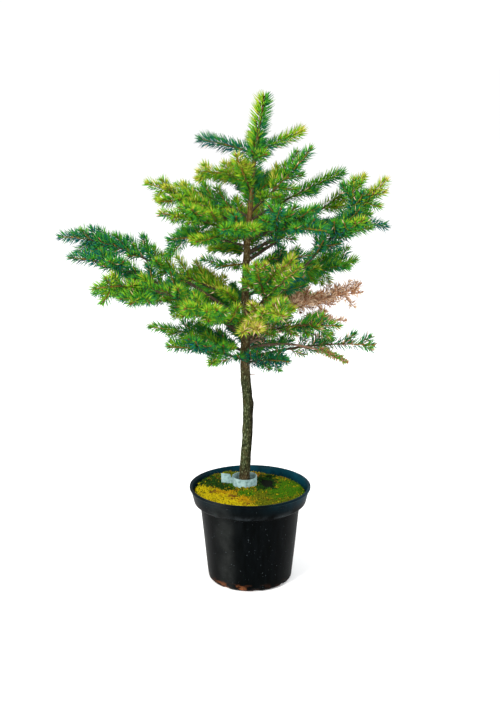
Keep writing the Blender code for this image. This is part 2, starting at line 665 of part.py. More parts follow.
def build_moss(looks):
    foot = np.array([TRUNK[0][1], TRUNK[0][2]])

    def surface(share, x, y):
        edge = min(1.0, 4 * min(share, 1 - share) + MOSS_RIM_SHARE)
        return soil_height(share) + GAP + MOSS_THICKNESS * edge + moss_bump(x, y) * edge

    under = ground_rings(foot, MOSS_HOLE, 2.5 * MM, lambda share, x, y: soil_height(share) + GAP)
    over = ground_rings(foot, MOSS_HOLE, 2.5 * MM, surface)
    mesh = bmesh.new()
    sheets = [[[mesh.verts.new(p) for p in ring] for ring in rings] for rings in (under, over)]
    for k in range(GROUND_SIDES):
        n = (k + 1) % GROUND_SIDES
        for rings in sheets:
            for near, far in zip(rings, rings[1:]):
                mesh.faces.new((near[k], near[n], far[n], far[k]))
        for end in (0, -1):
            low, high = sheets[0][end], sheets[1][end]
            mesh.faces.new((low[k], low[n], high[n], high[k]))
    bmesh.ops.triangulate(mesh, faces=mesh.faces)
    bmesh.ops.recalc_face_normals(mesh, faces=mesh.faces)
    data = bpy.data.meshes.new("moss")
    mesh.to_mesh(data)
    mesh.free()
    data.materials.append(looks["moss"])
    bpy.context.scene.collection.objects.link(bpy.data.objects.new("moss", data))


def label_line():
    """The strip's middle line, level: in from the tail's end, then once round the trunk and back to the tail."""
    centre = trunk_centre(np.array(LABEL_FOOT))[:2] + np.array([1.0, -2.0]) * MM
    turns = np.linspace(math.pi, 3 * math.pi - 0.16, LABEL_STEPS)
    ring = centre + LABEL_RADIUS * np.stack([np.cos(turns), np.sin(turns)], axis=-1)
    tail_end = ring[0] + np.array([-LABEL_TAIL, 5 * MM])
    tail = ring[0] + (tail_end - ring[0]) * np.array([[1.0], [0.6], [0.25]])
    return np.concatenate([tail, ring])


def build_label(looks):
    line = label_line()
    ahead = unit(np.gradient(line, axis=0))
    aside = np.stack([-ahead[:, 1], ahead[:, 0]], axis=-1) * LABEL_THICKNESS / 2
    rings = []
    for point, half in zip(line, aside):
        low, high = point - half, point + half
        rings.append(
            [
                (*low, LABEL_FOOT),
                (*high, LABEL_FOOT),
                (*high, LABEL_FOOT + LABEL_HEIGHT),
                (*low, LABEL_FOOT + LABEL_HEIGHT),
            ]
        )
    label = lofted("loop_label", rings)
    label.data.materials.append(looks["label_plastic"])


def main():
    for obj in list(bpy.data.objects):
        bpy.data.objects.remove(obj)
    looks = {
        "bark": material("bark", BARK),
        "twig_bark": material("twig_bark", TWIG_BARK),
        "needles": material("needles", NEEDLES),
        "dry_twigs": material("dry_twigs", DRY_TWIGS),
        "pot_plastic": material("pot_plastic", POT_PLASTIC),
        "soil": material("soil", SOIL),
        "moss": material("moss", MOSS),
        "label_plastic": material("label_plastic", LABEL_PLASTIC),
    }
    build_pot(looks)
    build_soil(looks)
    build_moss(looks)
    build_label(looks)
    build_trunk(looks)
    for name, low, high in TRUNK_NEEDLES:
        build_trunk_needles(name, low, high, looks)
    for bough in BOUGHS:
        build_bough(bough, looks)


if __name__ == "__main__":
    main()
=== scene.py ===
import math
import random
from collections import namedtuple

import bmesh
import bpy
import numpy as np
from mathutils import Matrix, Vector, noise


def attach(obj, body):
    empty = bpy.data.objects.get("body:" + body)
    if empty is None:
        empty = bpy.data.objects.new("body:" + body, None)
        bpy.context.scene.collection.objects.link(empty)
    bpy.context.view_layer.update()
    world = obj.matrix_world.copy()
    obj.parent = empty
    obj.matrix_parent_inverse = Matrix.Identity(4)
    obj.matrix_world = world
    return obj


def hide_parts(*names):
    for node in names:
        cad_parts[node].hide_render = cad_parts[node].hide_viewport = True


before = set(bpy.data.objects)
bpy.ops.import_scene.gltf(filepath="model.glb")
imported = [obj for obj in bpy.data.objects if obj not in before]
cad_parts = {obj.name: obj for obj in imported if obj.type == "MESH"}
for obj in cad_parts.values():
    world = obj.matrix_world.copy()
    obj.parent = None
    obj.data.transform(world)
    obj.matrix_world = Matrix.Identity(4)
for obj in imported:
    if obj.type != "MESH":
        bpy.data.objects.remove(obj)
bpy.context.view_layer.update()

# The dressed spruce: bark, boughs, twigs and needles grown on the source's own axes, then the pot, the soil,
# the moss and the label. Metres, +Z up, -Y towards the viewer.

MM = 0.001
GAP = 0.3 * MM
UP = np.array([0.0, 0.0, 1.0])
GOLDEN_TURN = math.pi * (3 - math.sqrt(5))

# The pot, the soil, the moss and the label, as in the source
LIP_RADIUS = 105 * MM
POT_HEIGHT = 169 * MM
LIP_DEPTH = 4 * MM
LIP_WIDTH = 2.2 * MM
BAND_FOOT_RADIUS = 97 * MM
BAND_DEPTH = 28 * MM
BODY_TOP_RADIUS = 86.5 * MM
STEP_DEPTH = 6 * MM
STEP_RISE = 0.6 * MM  # how much higher the step is inside
FOOT_RADIUS = 73 * MM
FOOT_BEVEL = 5 * MM
WALL = 1.8 * MM
FLOOR = 2.5 * MM
DRAIN_COUNT = 6
DRAIN_RADIUS = 6 * MM
DRAIN_CIRCLE = 50 * MM
POT_SIDES = 176
HEEL_NOTCHES = 8
HEEL_NOTCH_TOP = 7 * MM
HEEL_NOTCH_DEPTH = 2.2 * MM
HEEL_NOTCH_SHARE = 0.24  # how wide a notch is, of the way to the next
POT_WOBBLE = 0.35 * MM
SOIL_CREST = 155.5 * MM
SOIL_EDGE = 155 * MM
MOSS_HOLE = 13.5 * MM
MOSS_THICKNESS = 5 * MM
MOSS_BUMP = 2.2 * MM
MOSS_RIM_SHARE = 0.6
LABEL_RADIUS = 21 * MM
LABEL_HEIGHT = 15.5 * MM
LABEL_THICKNESS = 0.8 * MM
LABEL_TAIL = 20 * MM
LABEL_FOOT = 160.6 * MM

# The trunk, from the soil's crest up: height, sideways and depth offsets, and radius, in millimetres
TRUNK = [
    tuple(value * MM for value in station)
    for station in (
        (155.5, -10.5, 28.0, 12.0),
        (168.0, -10.0, 27.2, 9.5),
        (215.0, -7.4, 24.0, 9.0),
        (260.0, -4.0, 21.0, 8.8),
        (320.0, -4.4, 17.0, 8.5),
        (370.0, -8.0, 14.0, 8.2),
        (450.0, -7.6, 10.0, 7.0),
        (550.0, -7.0, 6.0, 5.6),
        (650.0, 0.5, 2.0, 4.2),
        (740.0, 8.5, 0.0, 3.0),
        (800.0, 18.0, 0.0, 2.2),
        (830.0, 24.0, 0.0, 1.5),
    )
]

# The source's rule for side shoots
CORE_SPARE = 0.8 * MM
TWIG_RADIUS = 2.8 * MM
LATERAL_PITCH = 26 * MM
LATERAL_ANGLE = 50.0
LATERAL_ANGLE_SPREAD = 7
LATERAL_TILTS = (-28, 4, 4, 46)  # one is drawn for each shoot
LATERAL_TILT_SPREAD = 12
LATERAL_FORWARD = 0.45  # how much a side shoot turns towards its bough's tip, and upward
LATERAL_RISES = (-0.12, 0.16)
LATERAL_REACHES = (0.85, 1.15)
LATERAL_PITCHES = (0.8, 1.2)
LATERAL_STEPS = 12
LATERAL_EXTRA = 16 * MM
CLEAN_TIP = 58 * MM
LONGEST_LATERAL = 130 * MM
SHORTEST_LATERAL = 22 * MM
AXIS_STEPS = 36
LAST_NEEDLES = 9 * MM
BOUGH_TIP_RADIUS = 0.9 * MM

# What the scene adds to the rule: shoots on the side shoots, and short shoots all round a bough
FINER_FIRST = (8, 14)  # millimetres from the side shoot's start
FINER_PITCH = 14 * MM
FINER_PITCHES = (0.8, 1.25)
FINER_ANGLE = 46.0
FINER_ANGLE_SPREAD = 8
FINER_TILTS = (-20, 30)
FINER_RISES = (-0.1, 0.2)
FINER_REACHES = (0.8, 1.15)
FINER_SHARE = 0.5
FINER_EXTRA = 15 * MM
FINER_LONGEST = 64 * MM
FINER_CLEAN_TIP = 16 * MM
FINER_LEAST_REACH = 40 * MM  # a shorter side shoot bears none
SHORTEST_FINER = 11 * MM
FILL_FIRST = (4, 12)  # millimetres from where the bough's needles start
FILL_PITCH = 15 * MM
FILL_PITCHES = (0.75, 1.25)
FILL_ANGLES = (40, 62)
FILL_RISES = (-0.1, 0.25)
FILL_CLEAN_TIP = 30 * MM
FILL_TURN = (-0.35 * math.pi, 1.35 * math.pi)  # all round, but for straight below
FILL_REACH = (24 * MM, 54 * MM)
FILL_SHARE = 0.30
FILL_LEAST = 9 * MM
SHOOT_STEPS = 9
SHOOT_FORWARD = 0.4  # how much an added shoot turns towards its parent's tip
SPUR_DEPTHS = (-0.25, 0.25)  # how much such a shoot leaves the picture's plane
STEM_SINK = 3 * MM  # how deep a bough's stem starts inside the trunk
SIDE_TIP_RADIUS = 0.75 * MM
SIDE_BARE = 2 * MM  # how far from its start a side shoot is bare, and then a finer one
FINER_BARE = 1.5 * MM
FINER_RADII = (0.95 * MM, 0.7 * MM)
LEAST_BARE = 5 * MM
CLEAN_BOUGHS = (  # without short shoots all round
    "second_right", "second_rear_left", "second_back", "third_right", "fifth_right", "fifth_far_right",
    "lower_front_right", "bottom_right",
)

# How densely needles stand, and the share that is dry
BRUSH_COVER = 2.4  # on the dead bough, whose last stretch is a short brush
BRUSH_START = 0.7  # where along that bough the brush starts
YEARLING_FAN = 0.12  # a bough that fans no wider than this is a shoot of the last year
YEARLING_COVER = 1.6
YEARLING_SIZE = 1.15  # its needles over the others
COVER = {"live": 1.0, "sparse": 0.8, "dry": 0.7, "dead": BRUSH_COVER}
SHEDDING_BOUGHS = ("lower_front", "lower_right", "lower_front_right", "bottom_right")
SHEDDING_DRY = 0.12
FRESH_DRY = 0.01
LATE_TIPS = ("steep_right",)  # a bough that turns golden only near its tips
LATE_POWER = 6

# Needles
NEEDLE_LENGTH = 17 * MM
NEEDLE_WIDTH = 1.55 * MM
NEEDLE_LENGTHS = (0.82, 1.1)  # the shortest and the longest, over NEEDLE_LENGTH
NEEDLE_WIDTHS = (0.85, 1.15)
TIP_SHORTER = 0.3  # how much shorter the needles round a bud are
NEEDLES_PER_METRE = 2350
NEEDLE_WAIST = 0.4  # where along its length a needle is thickest
NEEDLE_BEND = 0.05  # how far it curves upward, over its length
NEEDLE_FACES = ((0, 2, 1), (0, 3, 2), (0, 1, 3), (1, 2, 4), (2, 3, 4), (3, 1, 4))
YOUNG = 55 * MM  # the newest growth of a shoot, measured back from its tip
LAST_STRETCH = 9 * MM  # where needles close in round the bud
UNDER_SHARE = 0.45  # how far the needles under a shoot still point down, the rest being combed to its sides

# Older wood loses needles: from where, measured back from the tip, over which length, and the share that is
# lost by then
LIMB_SHEDDING = (70 * MM, 70 * MM, 0.95)
TWIG_SHEDDING = (80 * MM, 140 * MM, 0.7)

# A needle's angle from its shoot in degrees, and how much less it is on young wood, on top, and at the tip
NEEDLE_OPENING = 63
YOUNG_CLOSING = 8
UPPER_CLOSING = 12
TIP_CLOSING = 26
OPENING_SPREAD = 4.5

# How far a side shoot's tones stray and differ between its ends, and the same for a finer shoot
SIDE_MOOD = 0.45
SIDE_TONES = (0.3, -0.2)
FINER_MOOD = 0.4
FINER_FRESHER = 0.3

# How far a needle's tone moves towards straw on young wood, towards straw on top as painted light, and
# towards ink underneath as painted shade
YOUNG_TONE = 0.5
UPPER_LIGHT_TONE = 0.3
UNDER_SHADE_TONE = 0.9
TONE_SPREAD = 0.85
PALE_DRY = 0.6  # the share of dry needles that is pale

# Needles on the trunk: from which height to which, how many to a metre, and the tones to the left and right,
# lighter to the left as painted light and darker to the right as painted shade
TRUNK_NEEDLES = (
    (0.745, 0.8285, 4700, 1.9, 4.1),
    (0.655, 0.745, 2400, 3.4, 4.6),
)
TRUNK_NEEDLE_LENGTHS = (1.05, 1.4)
TRUNK_NEEDLE_WIDTHS = (0.9, 1.2)

# One row per bough: height on the trunk, compass angle from +X, reach, rise, upward bow, fan, its needles'
# tones at the root and at the tip, and the piece that they go into. Then, where a bough has them, the share
# that is a bare limb, how far its side shoots tip above level, its cover, and the place of its bend
BOUGH_FIELDS = "name height angle reach lift bow fan root_tone tip_tone group limb tip_up cover bend"
Bough = namedtuple("Bough", BOUGH_FIELDS, defaults=(0, 0, "live", 0.5))
BOUGHS = (
    Bough("top_left", 0.738, 173, 0.098, 0.024, 0.003, 0, 4.8, 5.6, "top"),
    Bough("top_right", 0.741, 14, 0.086, 0.036, -0.001, 0, 5.2, 1.0, "top"),
    Bough("top_back", 0.746, 92, 0.080, 0.020, 0.000, 0, 4.6, 2.6, "top"),
    Bough("top_front", 0.730, 294, 0.052, 0.012, 0.002, 0.45, 3.3, 3.3, "top"),
    Bough("second_left", 0.689, 190, 0.096, 0.021, 0.008, 0.45, 2.4, 1.8, "top", tip_up=-30),
    Bough("second_front", 0.681, 244, 0.060, 0.066, -0.006, 0.40, 2.2, 1.6, "top"),
    Bough("second_right", 0.668, 12, 0.060, 0.046, 0.000, 0.40, 3.6, 2.6, "top"),
    Bough("second_back", 0.686, 60, 0.095, 0.014, 0.002, 0.50, 4.8, 3.6, "top"),
    Bough("second_rear_left", 0.680, 125, 0.100, 0.018, 0.002, 0.50, 5.2, 3.4, "top"),
    Bough("third_left", 0.634, 156, 0.142, 0.048, 0.006, 0.45, 3.8, 2.4, "upper", tip_up=-24),
    Bough("third_right_steep", 0.643, 338, 0.110, 0.112, -0.004, 0.50, 2.4, 3.8, "upper", tip_up=10),
    Bough("third_right", 0.628, 9, 0.163, 0.080, 0.004, 0.12, 2.6, 3.8, "upper", tip_up=-40),
    Bough("third_back", 0.650, 85, 0.140, 0.050, 0.004, 0.55, 3.8, 2.6, "upper"),
    Bough("fourth_left", 0.607, 184, 0.173, 0.086, 0.012, 0.55, 3.0, 2.2, "upper", limb=0.14, tip_up=-10),
    Bough("fourth_front_left", 0.596, 214, 0.172, 0.058, 0.010, 0.60, 3.0, 2.6, "upper", tip_up=-22),
    Bough("fourth_front", 0.604, 252, 0.130, 0.028, 0.006, 0.60, 3.4, 3.6, "upper"),
    Bough("fourth_front_right", 0.598, 312, 0.186, 0.034, 0.010, 0.60, 2.8, 4.4, "upper"),
    Bough("fourth_rear_right", 0.596, 50, 0.120, 0.022, 0.006, 0.60, 3.3, 2.4, "middle", tip_up=-20),
    Bough("fourth_rear_left", 0.592, 128, 0.175, 0.060, 0.006, 0.60, 3.4, 2.2, "middle"),
    Bough("small_left", 0.585, 200, 0.142, 0.018, 0.010, 0.60, 2.6, 4.4, "middle", tip_up=-36),
    Bough("inner_far_right", 0.549, 347, 0.115, 0.026, 0.004, 0.50, 4.0, 4.8, "right"),
    Bough("inner_left", 0.557, 212, 0.062, 0.000, 0.000, 0.30, 2.4, 4.6, "middle", tip_up=16),
    Bough("inner_right", 0.532, 335, 0.110, 0.010, 0.004, 0.55, 4.6, 5.4, "right"),
    Bough("fifth_right", 0.560, 19, 0.218, 0.139, -0.004, 0.30, 3.6, 1.6, "middle", limb=0.16, tip_up=-38),
    Bough("fifth_far_right", 0.573, 32, 0.300, 0.020, 0.028, 0.34, 5.0, 5.2, "middle", tip_up=-15),
    Bough("fifth_rear", 0.552, 92, 0.200, 0.070, 0.010, 0.50, 3.2, 2.4, "middle"),
    Bough("sixth_rear_right", 0.500, 30, 0.225, 0.040, 0.014, 0.65, 3.9, 3.2, "middle", tip_up=8),
    Bough("over_long_left", 0.482, 180, 0.172, 0.074, 0.010, 0.42, 2.2, 2.6, "left", tip_up=-30),
    Bough(
        "long_left", 0.456, 187, 0.312, 0.150, 0.032, 0.50, 1.6, 5.4, "left",
        limb=0.18, tip_up=-26, bend=0.63,
    ),
    Bough("long_left_low", 0.430, 197, 0.300, 0.152, 0.025, 0.40, 3.6, 5.0, "left", tip_up=20, bend=0.60),
    Bough(
        "second_long_left", 0.444, 215, 0.292, 0.100, 0.026, 0.56, 3.4, 2.8, "left",
        limb=0.18, tip_up=-24, bend=0.66,
    ),
    Bough("lower_front_left", 0.436, 244, 0.215, 0.085, 0.012, 0.60, 2.6, 2.8, "front"),
    Bough("lower_front", 0.451, 290, 0.180, 0.052, 0.010, 0.60, 2.1, 2.2, "front"),
    Bough("lower_front_right", 0.460, 304, 0.160, 0.116, 0.006, 0.55, 2.4, 2.5, "front"),
    Bough("lower_right", 0.427, 334, 0.178, 0.038, 0.012, 0.75, 3.6, 3.6, "front"),
    Bough("steep_right", 0.441, 351, 0.236, 0.264, 0.002, 0.55, 4.8, 1.4, "right", limb=0.22, tip_up=14),
    Bough("dead_right", 0.468, 14, 0.212, 0.030, 0.004, 0.75, 8.0, 8.0, "dry", tip_up=-18, cover="dry"),
    Bough("dead_lower_right", 0.417, 8, 0.180, 0.037, 0.010, 0.62, 8.0, 8.0, "dry", cover="dry"),
    Bough("lower_rear_right", 0.446, 62, 0.230, 0.056, 0.014, 0.60, 5.0, 3.6, "rear"),
    Bough("lower_rear", 0.454, 112, 0.220, 0.014, 0.018, 0.55, 4.0, 2.6, "rear"),
    Bough("lower_rear_left", 0.441, 154, 0.308, 0.036, 0.020, 0.42, 5.0, 4.0, "rear", tip_up=14, bend=0.6),
    Bough("bottom_left", 0.404, 172, 0.172, 0.038, 0.008, 0.55, 4.4, 3.6, "right"),
    Bough("bottom_front_left", 0.389, 222, 0.172, 0.052, 0.006, 0.58, 4.2, 3.6, "front", tip_up=16),
    Bough("bottom_front", 0.384, 308, 0.120, 0.026, 0.004, 0.60, 4.8, 5.4, "front"),
    Bough(
        "bottom_right", 0.390, 346, 0.226, 0.038, 0.012, 0.46, 4.2, 4.4, "right",
        limb=0.30, tip_up=16, cover="sparse",
    ),
    Bough("dead_bottom_right", 0.408, 330, 0.198, 0.000, 0.020, 0.40, 9.0, 9.0, "dry", cover="dead"),
    Bough("bottom_rear", 0.396, 80, 0.180, 0.040, 0.008, 0.60, 4.8, 3.6, "rear"),
)

# The pieces that the needles are joined into, each under the limit on triangles
GROUPS = ("top", "upper", "middle", "left", "front", "right", "rear", "dry")

# Side shoots that are left out because the sky shows there: a bough and the numbers of its side shoots
OPENINGS = {
    "third_left": (2,),
    "second_long_left": (3, 6),
    "lower_rear_left": (7,),
    "third_right": (2,),
    "third_right_steep": (2,),
    "fifth_right": (0, 3),
    "fourth_front_right": (4,),
    "lower_front_left": (3,),
    "bottom_front_left": (2,),
    "bottom_left": (3,),
    "bottom_right": (2,),
    "dead_bottom_right": (1, 2, 3, 4, 5),
    "fifth_far_right": (8,),
}

# Shoots that are added where the crown is denser. For each bough: the share of it where a shoot starts, the
# way it leaves in the picture's plane, as an angle from +X, and its length in millimetres
SPURS = {
    "third_right_steep": ((0.58, 68, 44), (0.42, 350, 34)),
    "fourth_left": ((0.86, 250, 20),),
    "second_left": ((0.78, 132, 16), (0.70, 205, 32), (0.86, 240, 18)),
    "fifth_far_right": ((0.14, 296, 40), (0.20, 300, 34)),
    "third_left": ((0.30, 120, 22),),
    "long_left": (
        (0.52, 122, 40), (0.59, 126, 42), (0.66, 130, 38), (0.73, 138, 26), (0.80, 146, 16),
        (0.86, 232, 30), (0.80, 240, 34),
    ),
    "second_long_left": ((0.90, 246, 30),),
    "small_left": ((0.80, 232, 40), (0.92, 250, 32), (0.30, 80, 22)),
    "over_long_left": ((0.40, 112, 44), (0.58, 118, 46), (0.74, 122, 36)),
    "inner_left": ((0.80, 158, 36),),
    "bottom_left": ((0.36, 118, 26), (0.56, 122, 26), (0.20, 108, 24)),
    "bottom_front_left": ((0.84, 148, 20),),
    "lower_front": ((0.72, 44, 30), (0.80, 16, 32), (0.86, 62, 24)),
    "sixth_rear_right": ((0.56, 300, 36), (0.70, 292, 36), (0.88, 70, 28), (0.94, 14, 18), (0.64, 286, 34)),
    "lower_rear_right": ((0.84, 300, 28), (0.94, 330, 22)),
    "dead_right": (
        (0.84, 66, 26), (0.74, 50, 24), (0.92, 52, 22), (0.94, 84, 18), (0.78, 24, 30), (0.50, 76, 24),
        (0.40, 70, 24), (0.36, 284, 36), (0.44, 290, 36), (0.86, 300, 28), (0.60, 296, 38),
    ),
    "lower_right": ((0.80, 304, 30), (0.62, 300, 30)),
    "bottom_front": ((0.45, 48, 26), (0.75, 66, 22), (0.70, 292, 18)),
    "bottom_right": (
        (0.36, 334, 26), (0.46, 338, 26), (0.56, 340, 22), (0.44, 60, 30), (0.54, 52, 26), (0.78, 48, 26),
        (0.90, 40, 22), (0.92, 330, 18),
    ),
    "steep_right": (
        (0.84, 150, 24), (0.90, 8, 22), (0.92, 196, 18), (0.86, 334, 24), (0.70, 348, 32), (0.78, 352, 26),
    ),
}

# Base colours of the needles' tones, from straw through green to ink, then dry and brown
TONES = (
    ("straw", (180, 174, 70)),
    ("fresh", (146, 160, 36)),
    ("lime", (110, 156, 24)),
    ("leaf", (68, 138, 26)),
    ("green", (38, 116, 42)),
    ("deep", (18, 98, 60)),
    ("teal", (12, 94, 94)),
    ("ink", (6, 56, 62)),
    ("dry", (214, 182, 150)),
    ("brown", (160, 112, 78)),
)
LEAF = 3
LAST_GREEN = 7
DRY = 8
BROWN = 9

# Needles of the dead boughs: two tones, the share that has the first, and their length over a live needle's
BRUSH_NEEDLES = (LEAF, BROWN, 0.5, 0.6)
DRY_NEEDLES = (DRY, BROWN, 0.55, 0.85)
DRY_SLIMMER = 0.85
DRY_UNRULY = 0.45

# Looks of the stems, each as dark, middle and pale: young, second year, old, and buds
STEM_LOOKS = (
    ("stem_young", (96, 70, 20), (132, 98, 34), (160, 124, 56)),
    ("stem_second", (60, 44, 22), (88, 66, 34), (116, 92, 54)),
    ("stem_old", (32, 26, 18), (56, 46, 30), (88, 74, 52)),
    ("bud", (78, 50, 22), (112, 76, 34), (150, 110, 58)),
)
DRY_STEM_LOOKS = (
    ("dry_stem_tip", (112, 70, 44), (150, 102, 70), (190, 146, 110)),
    ("dry_stem", (84, 58, 44), (122, 92, 72), (160, 130, 106)),
    ("dry_stem_old", (52, 42, 34), (92, 76, 60), (128, 112, 92)),
    ("dry_bud", (90, 56, 36), (126, 84, 58), (160, 118, 84)),
)
BUD_LOOK = 3
TWIG_RING = 9 * MM
BOUGH_RING = 4.5 * MM
YOUNG_STEM = 45 * MM  # how far back from the tip a stem is young, and then in its second year
SECOND_STEM = 95 * MM

# A bud's rings beyond the end of its stem: distance and radius in millimetres
TWIG_BUD = ((1.2, 1.35), (3.2, 1.2), (4.4, 0.25))
BOUGH_BUD = ((1.2, 1.6), (3.4, 1.5), (5.2, 0.3))


def linear(colour):
    """A screen colour, 0 to 255, as linear light."""
    shares = np.array(colour) / 255
    return tuple(np.where(shares <= 0.04045, shares / 12.92, ((shares + 0.055) / 1.055) ** 2.4))


def smooth_through(knots, values, at):
    knots = np.asarray(knots, float)
    values = np.asarray(values, float)
    slopes = np.gradient(values, knots)
    at = np.clip(at, knots[0], knots[-1])
    i = np.clip(np.searchsorted(knots, at) - 1, 0, len(knots) - 2)
    width = knots[i + 1] - knots[i]
    t = (at - knots[i]) / width
    return (
        (2 * t**3 - 3 * t**2 + 1) * values[i]
        + (t**3 - 2 * t**2 + t) * width * slopes[i]
        + (3 * t**2 - 2 * t**3) * values[i + 1]
        + (t**3 - t**2) * width * slopes[i + 1]
    )


def trunk_centre(height):
    heights, sideways, depths, _ = zip(*TRUNK)
    x = smooth_through(heights, sideways, height)
    y = smooth_through(heights, depths, height)
    return np.stack([x, y, height], axis=-1)


def trunk_radius(height):
    heights, _, _, radii = zip(*TRUNK)
    return np.interp(height, heights, radii)


def unit(vectors):
    return vectors / np.linalg.norm(vectors, axis=-1, keepdims=True)


def along(points):
    return np.concatenate([[0.0], np.cumsum(np.linalg.norm(np.diff(points, axis=0), axis=1))])


def points_at(points, distances):
    run = along(points)
    return np.stack([np.interp(distances, run, points[:, k]) for k in range(3)], axis=-1)


def arch(start, middle, end, steps=AXIS_STEPS):
    t = np.linspace(0.0, 1.0, steps)[:, None]
    return (1 - t) ** 2 * start + 2 * t * (1 - t) * middle + t**2 * end


def bough_axis(bough):
    start = trunk_centre(np.array(bough.height))
    turn = math.radians(bough.angle)
    end = start + np.array([bough.reach * math.cos(turn), bough.reach * math.sin(turn), bough.lift])
    whole = arch(start, start + bough.bend * (end - start) + 2 * bough.bow * UP, end)
    return points_at(whole, np.linspace(0, along(whole)[-1] - LAST_NEEDLES, AXIS_STEPS))


AXES = {bough.name: bough_axis(bough) for bough in BOUGHS}
TRUNK_LINE = trunk_centre(np.linspace(TRUNK[0][0], TRUNK[-1][0], 60))


def distance_to(points, line):
    starts = line[:-1]
    steps = np.diff(line, axis=0)
    from_start = points[:, None, :] - starts[None]
    share = np.clip(np.einsum("ijk,jk->ij", from_start, steps) / (steps**2).sum(1), 0, 1)
    return np.linalg.norm(from_start - share[..., None] * steps[None], axis=2).min(axis=1)


def trunk_clearance(points):
    return distance_to(points, TRUNK_LINE) - trunk_radius(points[:, 2])


def in_own_space(points, owner, spare):
    """Whether each point is nearer to its owner's axis than to every other axis and to the trunk's bark."""
    own = distance_to(points, AXES[owner])
    free = own + spare < trunk_clearance(points)
    for name, line in AXES.items():
        if name != owner:
            free &= own + spare < distance_to(points, line)
    return free


def bark_exit(line):
    """How far along a bough's centreline it leaves the trunk's bark."""
    run = along(line)
    clear = trunk_clearance(line) > GAP
    first = int(np.argmax(clear))
    before, after = (trunk_clearance(line[first - 1 : first + 1]) - GAP)
    return run[first - 1] + (run[first] - run[first - 1]) * -before / (after - before)


def bough_radius(bough, share):
    """A bough's radius at a share of its length, as in the source."""
    root = (1.5 + 6.0 * bough.reach) * MM
    return root * (1 - share) + BOUGH_TIP_RADIUS * share


def shoot_arch(root, leave, settle, reach, steps):
    """A short arch that leaves root one way and then turns another."""
    half = 0.5 * reach
    return arch(root, root + half * leave, root + half * (leave + settle), steps)


def lateral_shoots(bough, first, length):
    """(start, line) of a bough's side shoots, left and right in turn, by the source's rule and seeds."""
    line = AXES[bough.name]
    turn = math.radians(bough.angle)
    across = np.array([-math.sin(turn), math.cos(turn), 0.0])
    found = []
    at, index = first + 0.5 * LATERAL_PITCH, 0
    while at < length - CLEAN_TIP:
        rng = random.Random(f"{bough.name} {index}")
        side = 1 if index % 2 else -1
        root, ahead = points_at(line, np.array([at, at + 2 * MM]))
        tangent = unit(ahead - root)
        spread = bough.fan * (length - at) * rng.uniform(*LATERAL_REACHES)
        reach = min(spread + LATERAL_EXTRA, LONGEST_LATERAL)
        angle = math.radians(LATERAL_ANGLE + rng.uniform(-LATERAL_ANGLE_SPREAD, LATERAL_ANGLE_SPREAD))
        tilt = rng.choice(LATERAL_TILTS) + bough.tip_up
        tilt = math.radians(tilt + rng.uniform(-LATERAL_TILT_SPREAD, LATERAL_TILT_SPREAD))
        raised = np.cross(tangent, across * side) * side * math.sin(tilt)
        outward = side * across * math.cos(tilt) + raised
        leave = unit(tangent * math.cos(angle) + outward * math.sin(angle))
        settle = unit(leave + LATERAL_FORWARD * tangent + rng.uniform(*LATERAL_RISES) * UP)
        found.append((at, shoot_arch(root, leave, settle, reach, LATERAL_STEPS)))
        at += LATERAL_PITCH * rng.uniform(*LATERAL_PITCHES)
        index += 1
    return found


def within_space(line, owner, shortest):
    """The first stretch of a shoot that stays in its owner's space, or None if it is too short."""
    free = in_own_space(line, owner, CORE_SPARE + TWIG_RADIUS)
    free[0] = True
    stop = len(line) if free.all() else int(np.argmin(free))
    line = line[:stop]
    if stop < 3 or along(line)[-1] < shortest:
        return None
    return line


# A shoot: its line, its stem's radius at both ends, where its needles start, their tones at both ends, the
# share that is dry, how densely they stand, its order (0 a bough, 1 a side shoot, 2 finer) and its group
Shoot = namedtuple("Shoot", "line root_radius tip_radius bare root_tone tip_tone dry cover order group")


def growing_point(line, at):
    """A point of a line, and the directions ahead, level and upward there."""
    root, ahead = points_at(line, np.array([at, at + 1 * MM]))
    tangent = unit(ahead - root)
    across = unit(np.cross(UP, tangent))
    return root, tangent, across, np.cross(tangent, across)


def outgrowth(root, tangent, outward, angle, reach, rise):
    """A short arch that leaves root at an angle to tangent and then bends forward and by rise upward."""
    leave = tangent * math.cos(angle) + outward * math.sin(angle)
    settle = unit(leave + SHOOT_FORWARD * tangent + rise * UP)
    return shoot_arch(root, leave, settle, reach, SHOOT_STEPS)


def finer_shoots(line, seed):
    """(start, line) of the shoots on a side shoot, left and right in turn."""
    rng = random.Random(seed)
    length = along(line)[-1]
    at = rng.uniform(*FINER_FIRST) * MM
    side = rng.choice((-1, 1))
    found = []
    while at < length - FINER_CLEAN_TIP:
        root, tangent, across, over = growing_point(line, at)
        tilt = math.radians(rng.uniform(*FINER_TILTS))
        outward = side * across * math.cos(tilt) + over * math.sin(tilt)
        angle = math.radians(FINER_ANGLE + rng.uniform(-FINER_ANGLE_SPREAD, FINER_ANGLE_SPREAD))
        reach = min(FINER_SHARE * (length - at) + FINER_EXTRA, FINER_LONGEST)
        reach *= rng.uniform(*FINER_REACHES)
        found.append((at, outgrowth(root, tangent, outward, angle, reach, rng.uniform(*FINER_RISES))))
        at += FINER_PITCH * rng.uniform(*FINER_PITCHES)
        side = -side
    return found


def fill_shoots(bough, line, first, length):
    """(start, line) of the short shoots all round a bough, between its side shoots."""
    rng = random.Random(bough.name + " fill")
    found = []
    at = first + rng.uniform(*FILL_FIRST) * MM
    while at < length - FILL_CLEAN_TIP:
        root, tangent, across, over = growing_point(line, at)
        turn = rng.uniform(*FILL_TURN)
        outward = across * math.cos(turn) + over * math.sin(turn)
        angle = math.radians(rng.uniform(*FILL_ANGLES))
        reach = min(rng.uniform(*FILL_REACH), FILL_SHARE * (length - at) + FILL_LEAST)
        reach *= min(1, 2 * bough.fan)
        found.append((at, outgrowth(root, tangent, outward, angle, reach, rng.uniform(*FILL_RISES))))
        at += FILL_PITCH * rng.uniform(*FILL_PITCHES)
    return found


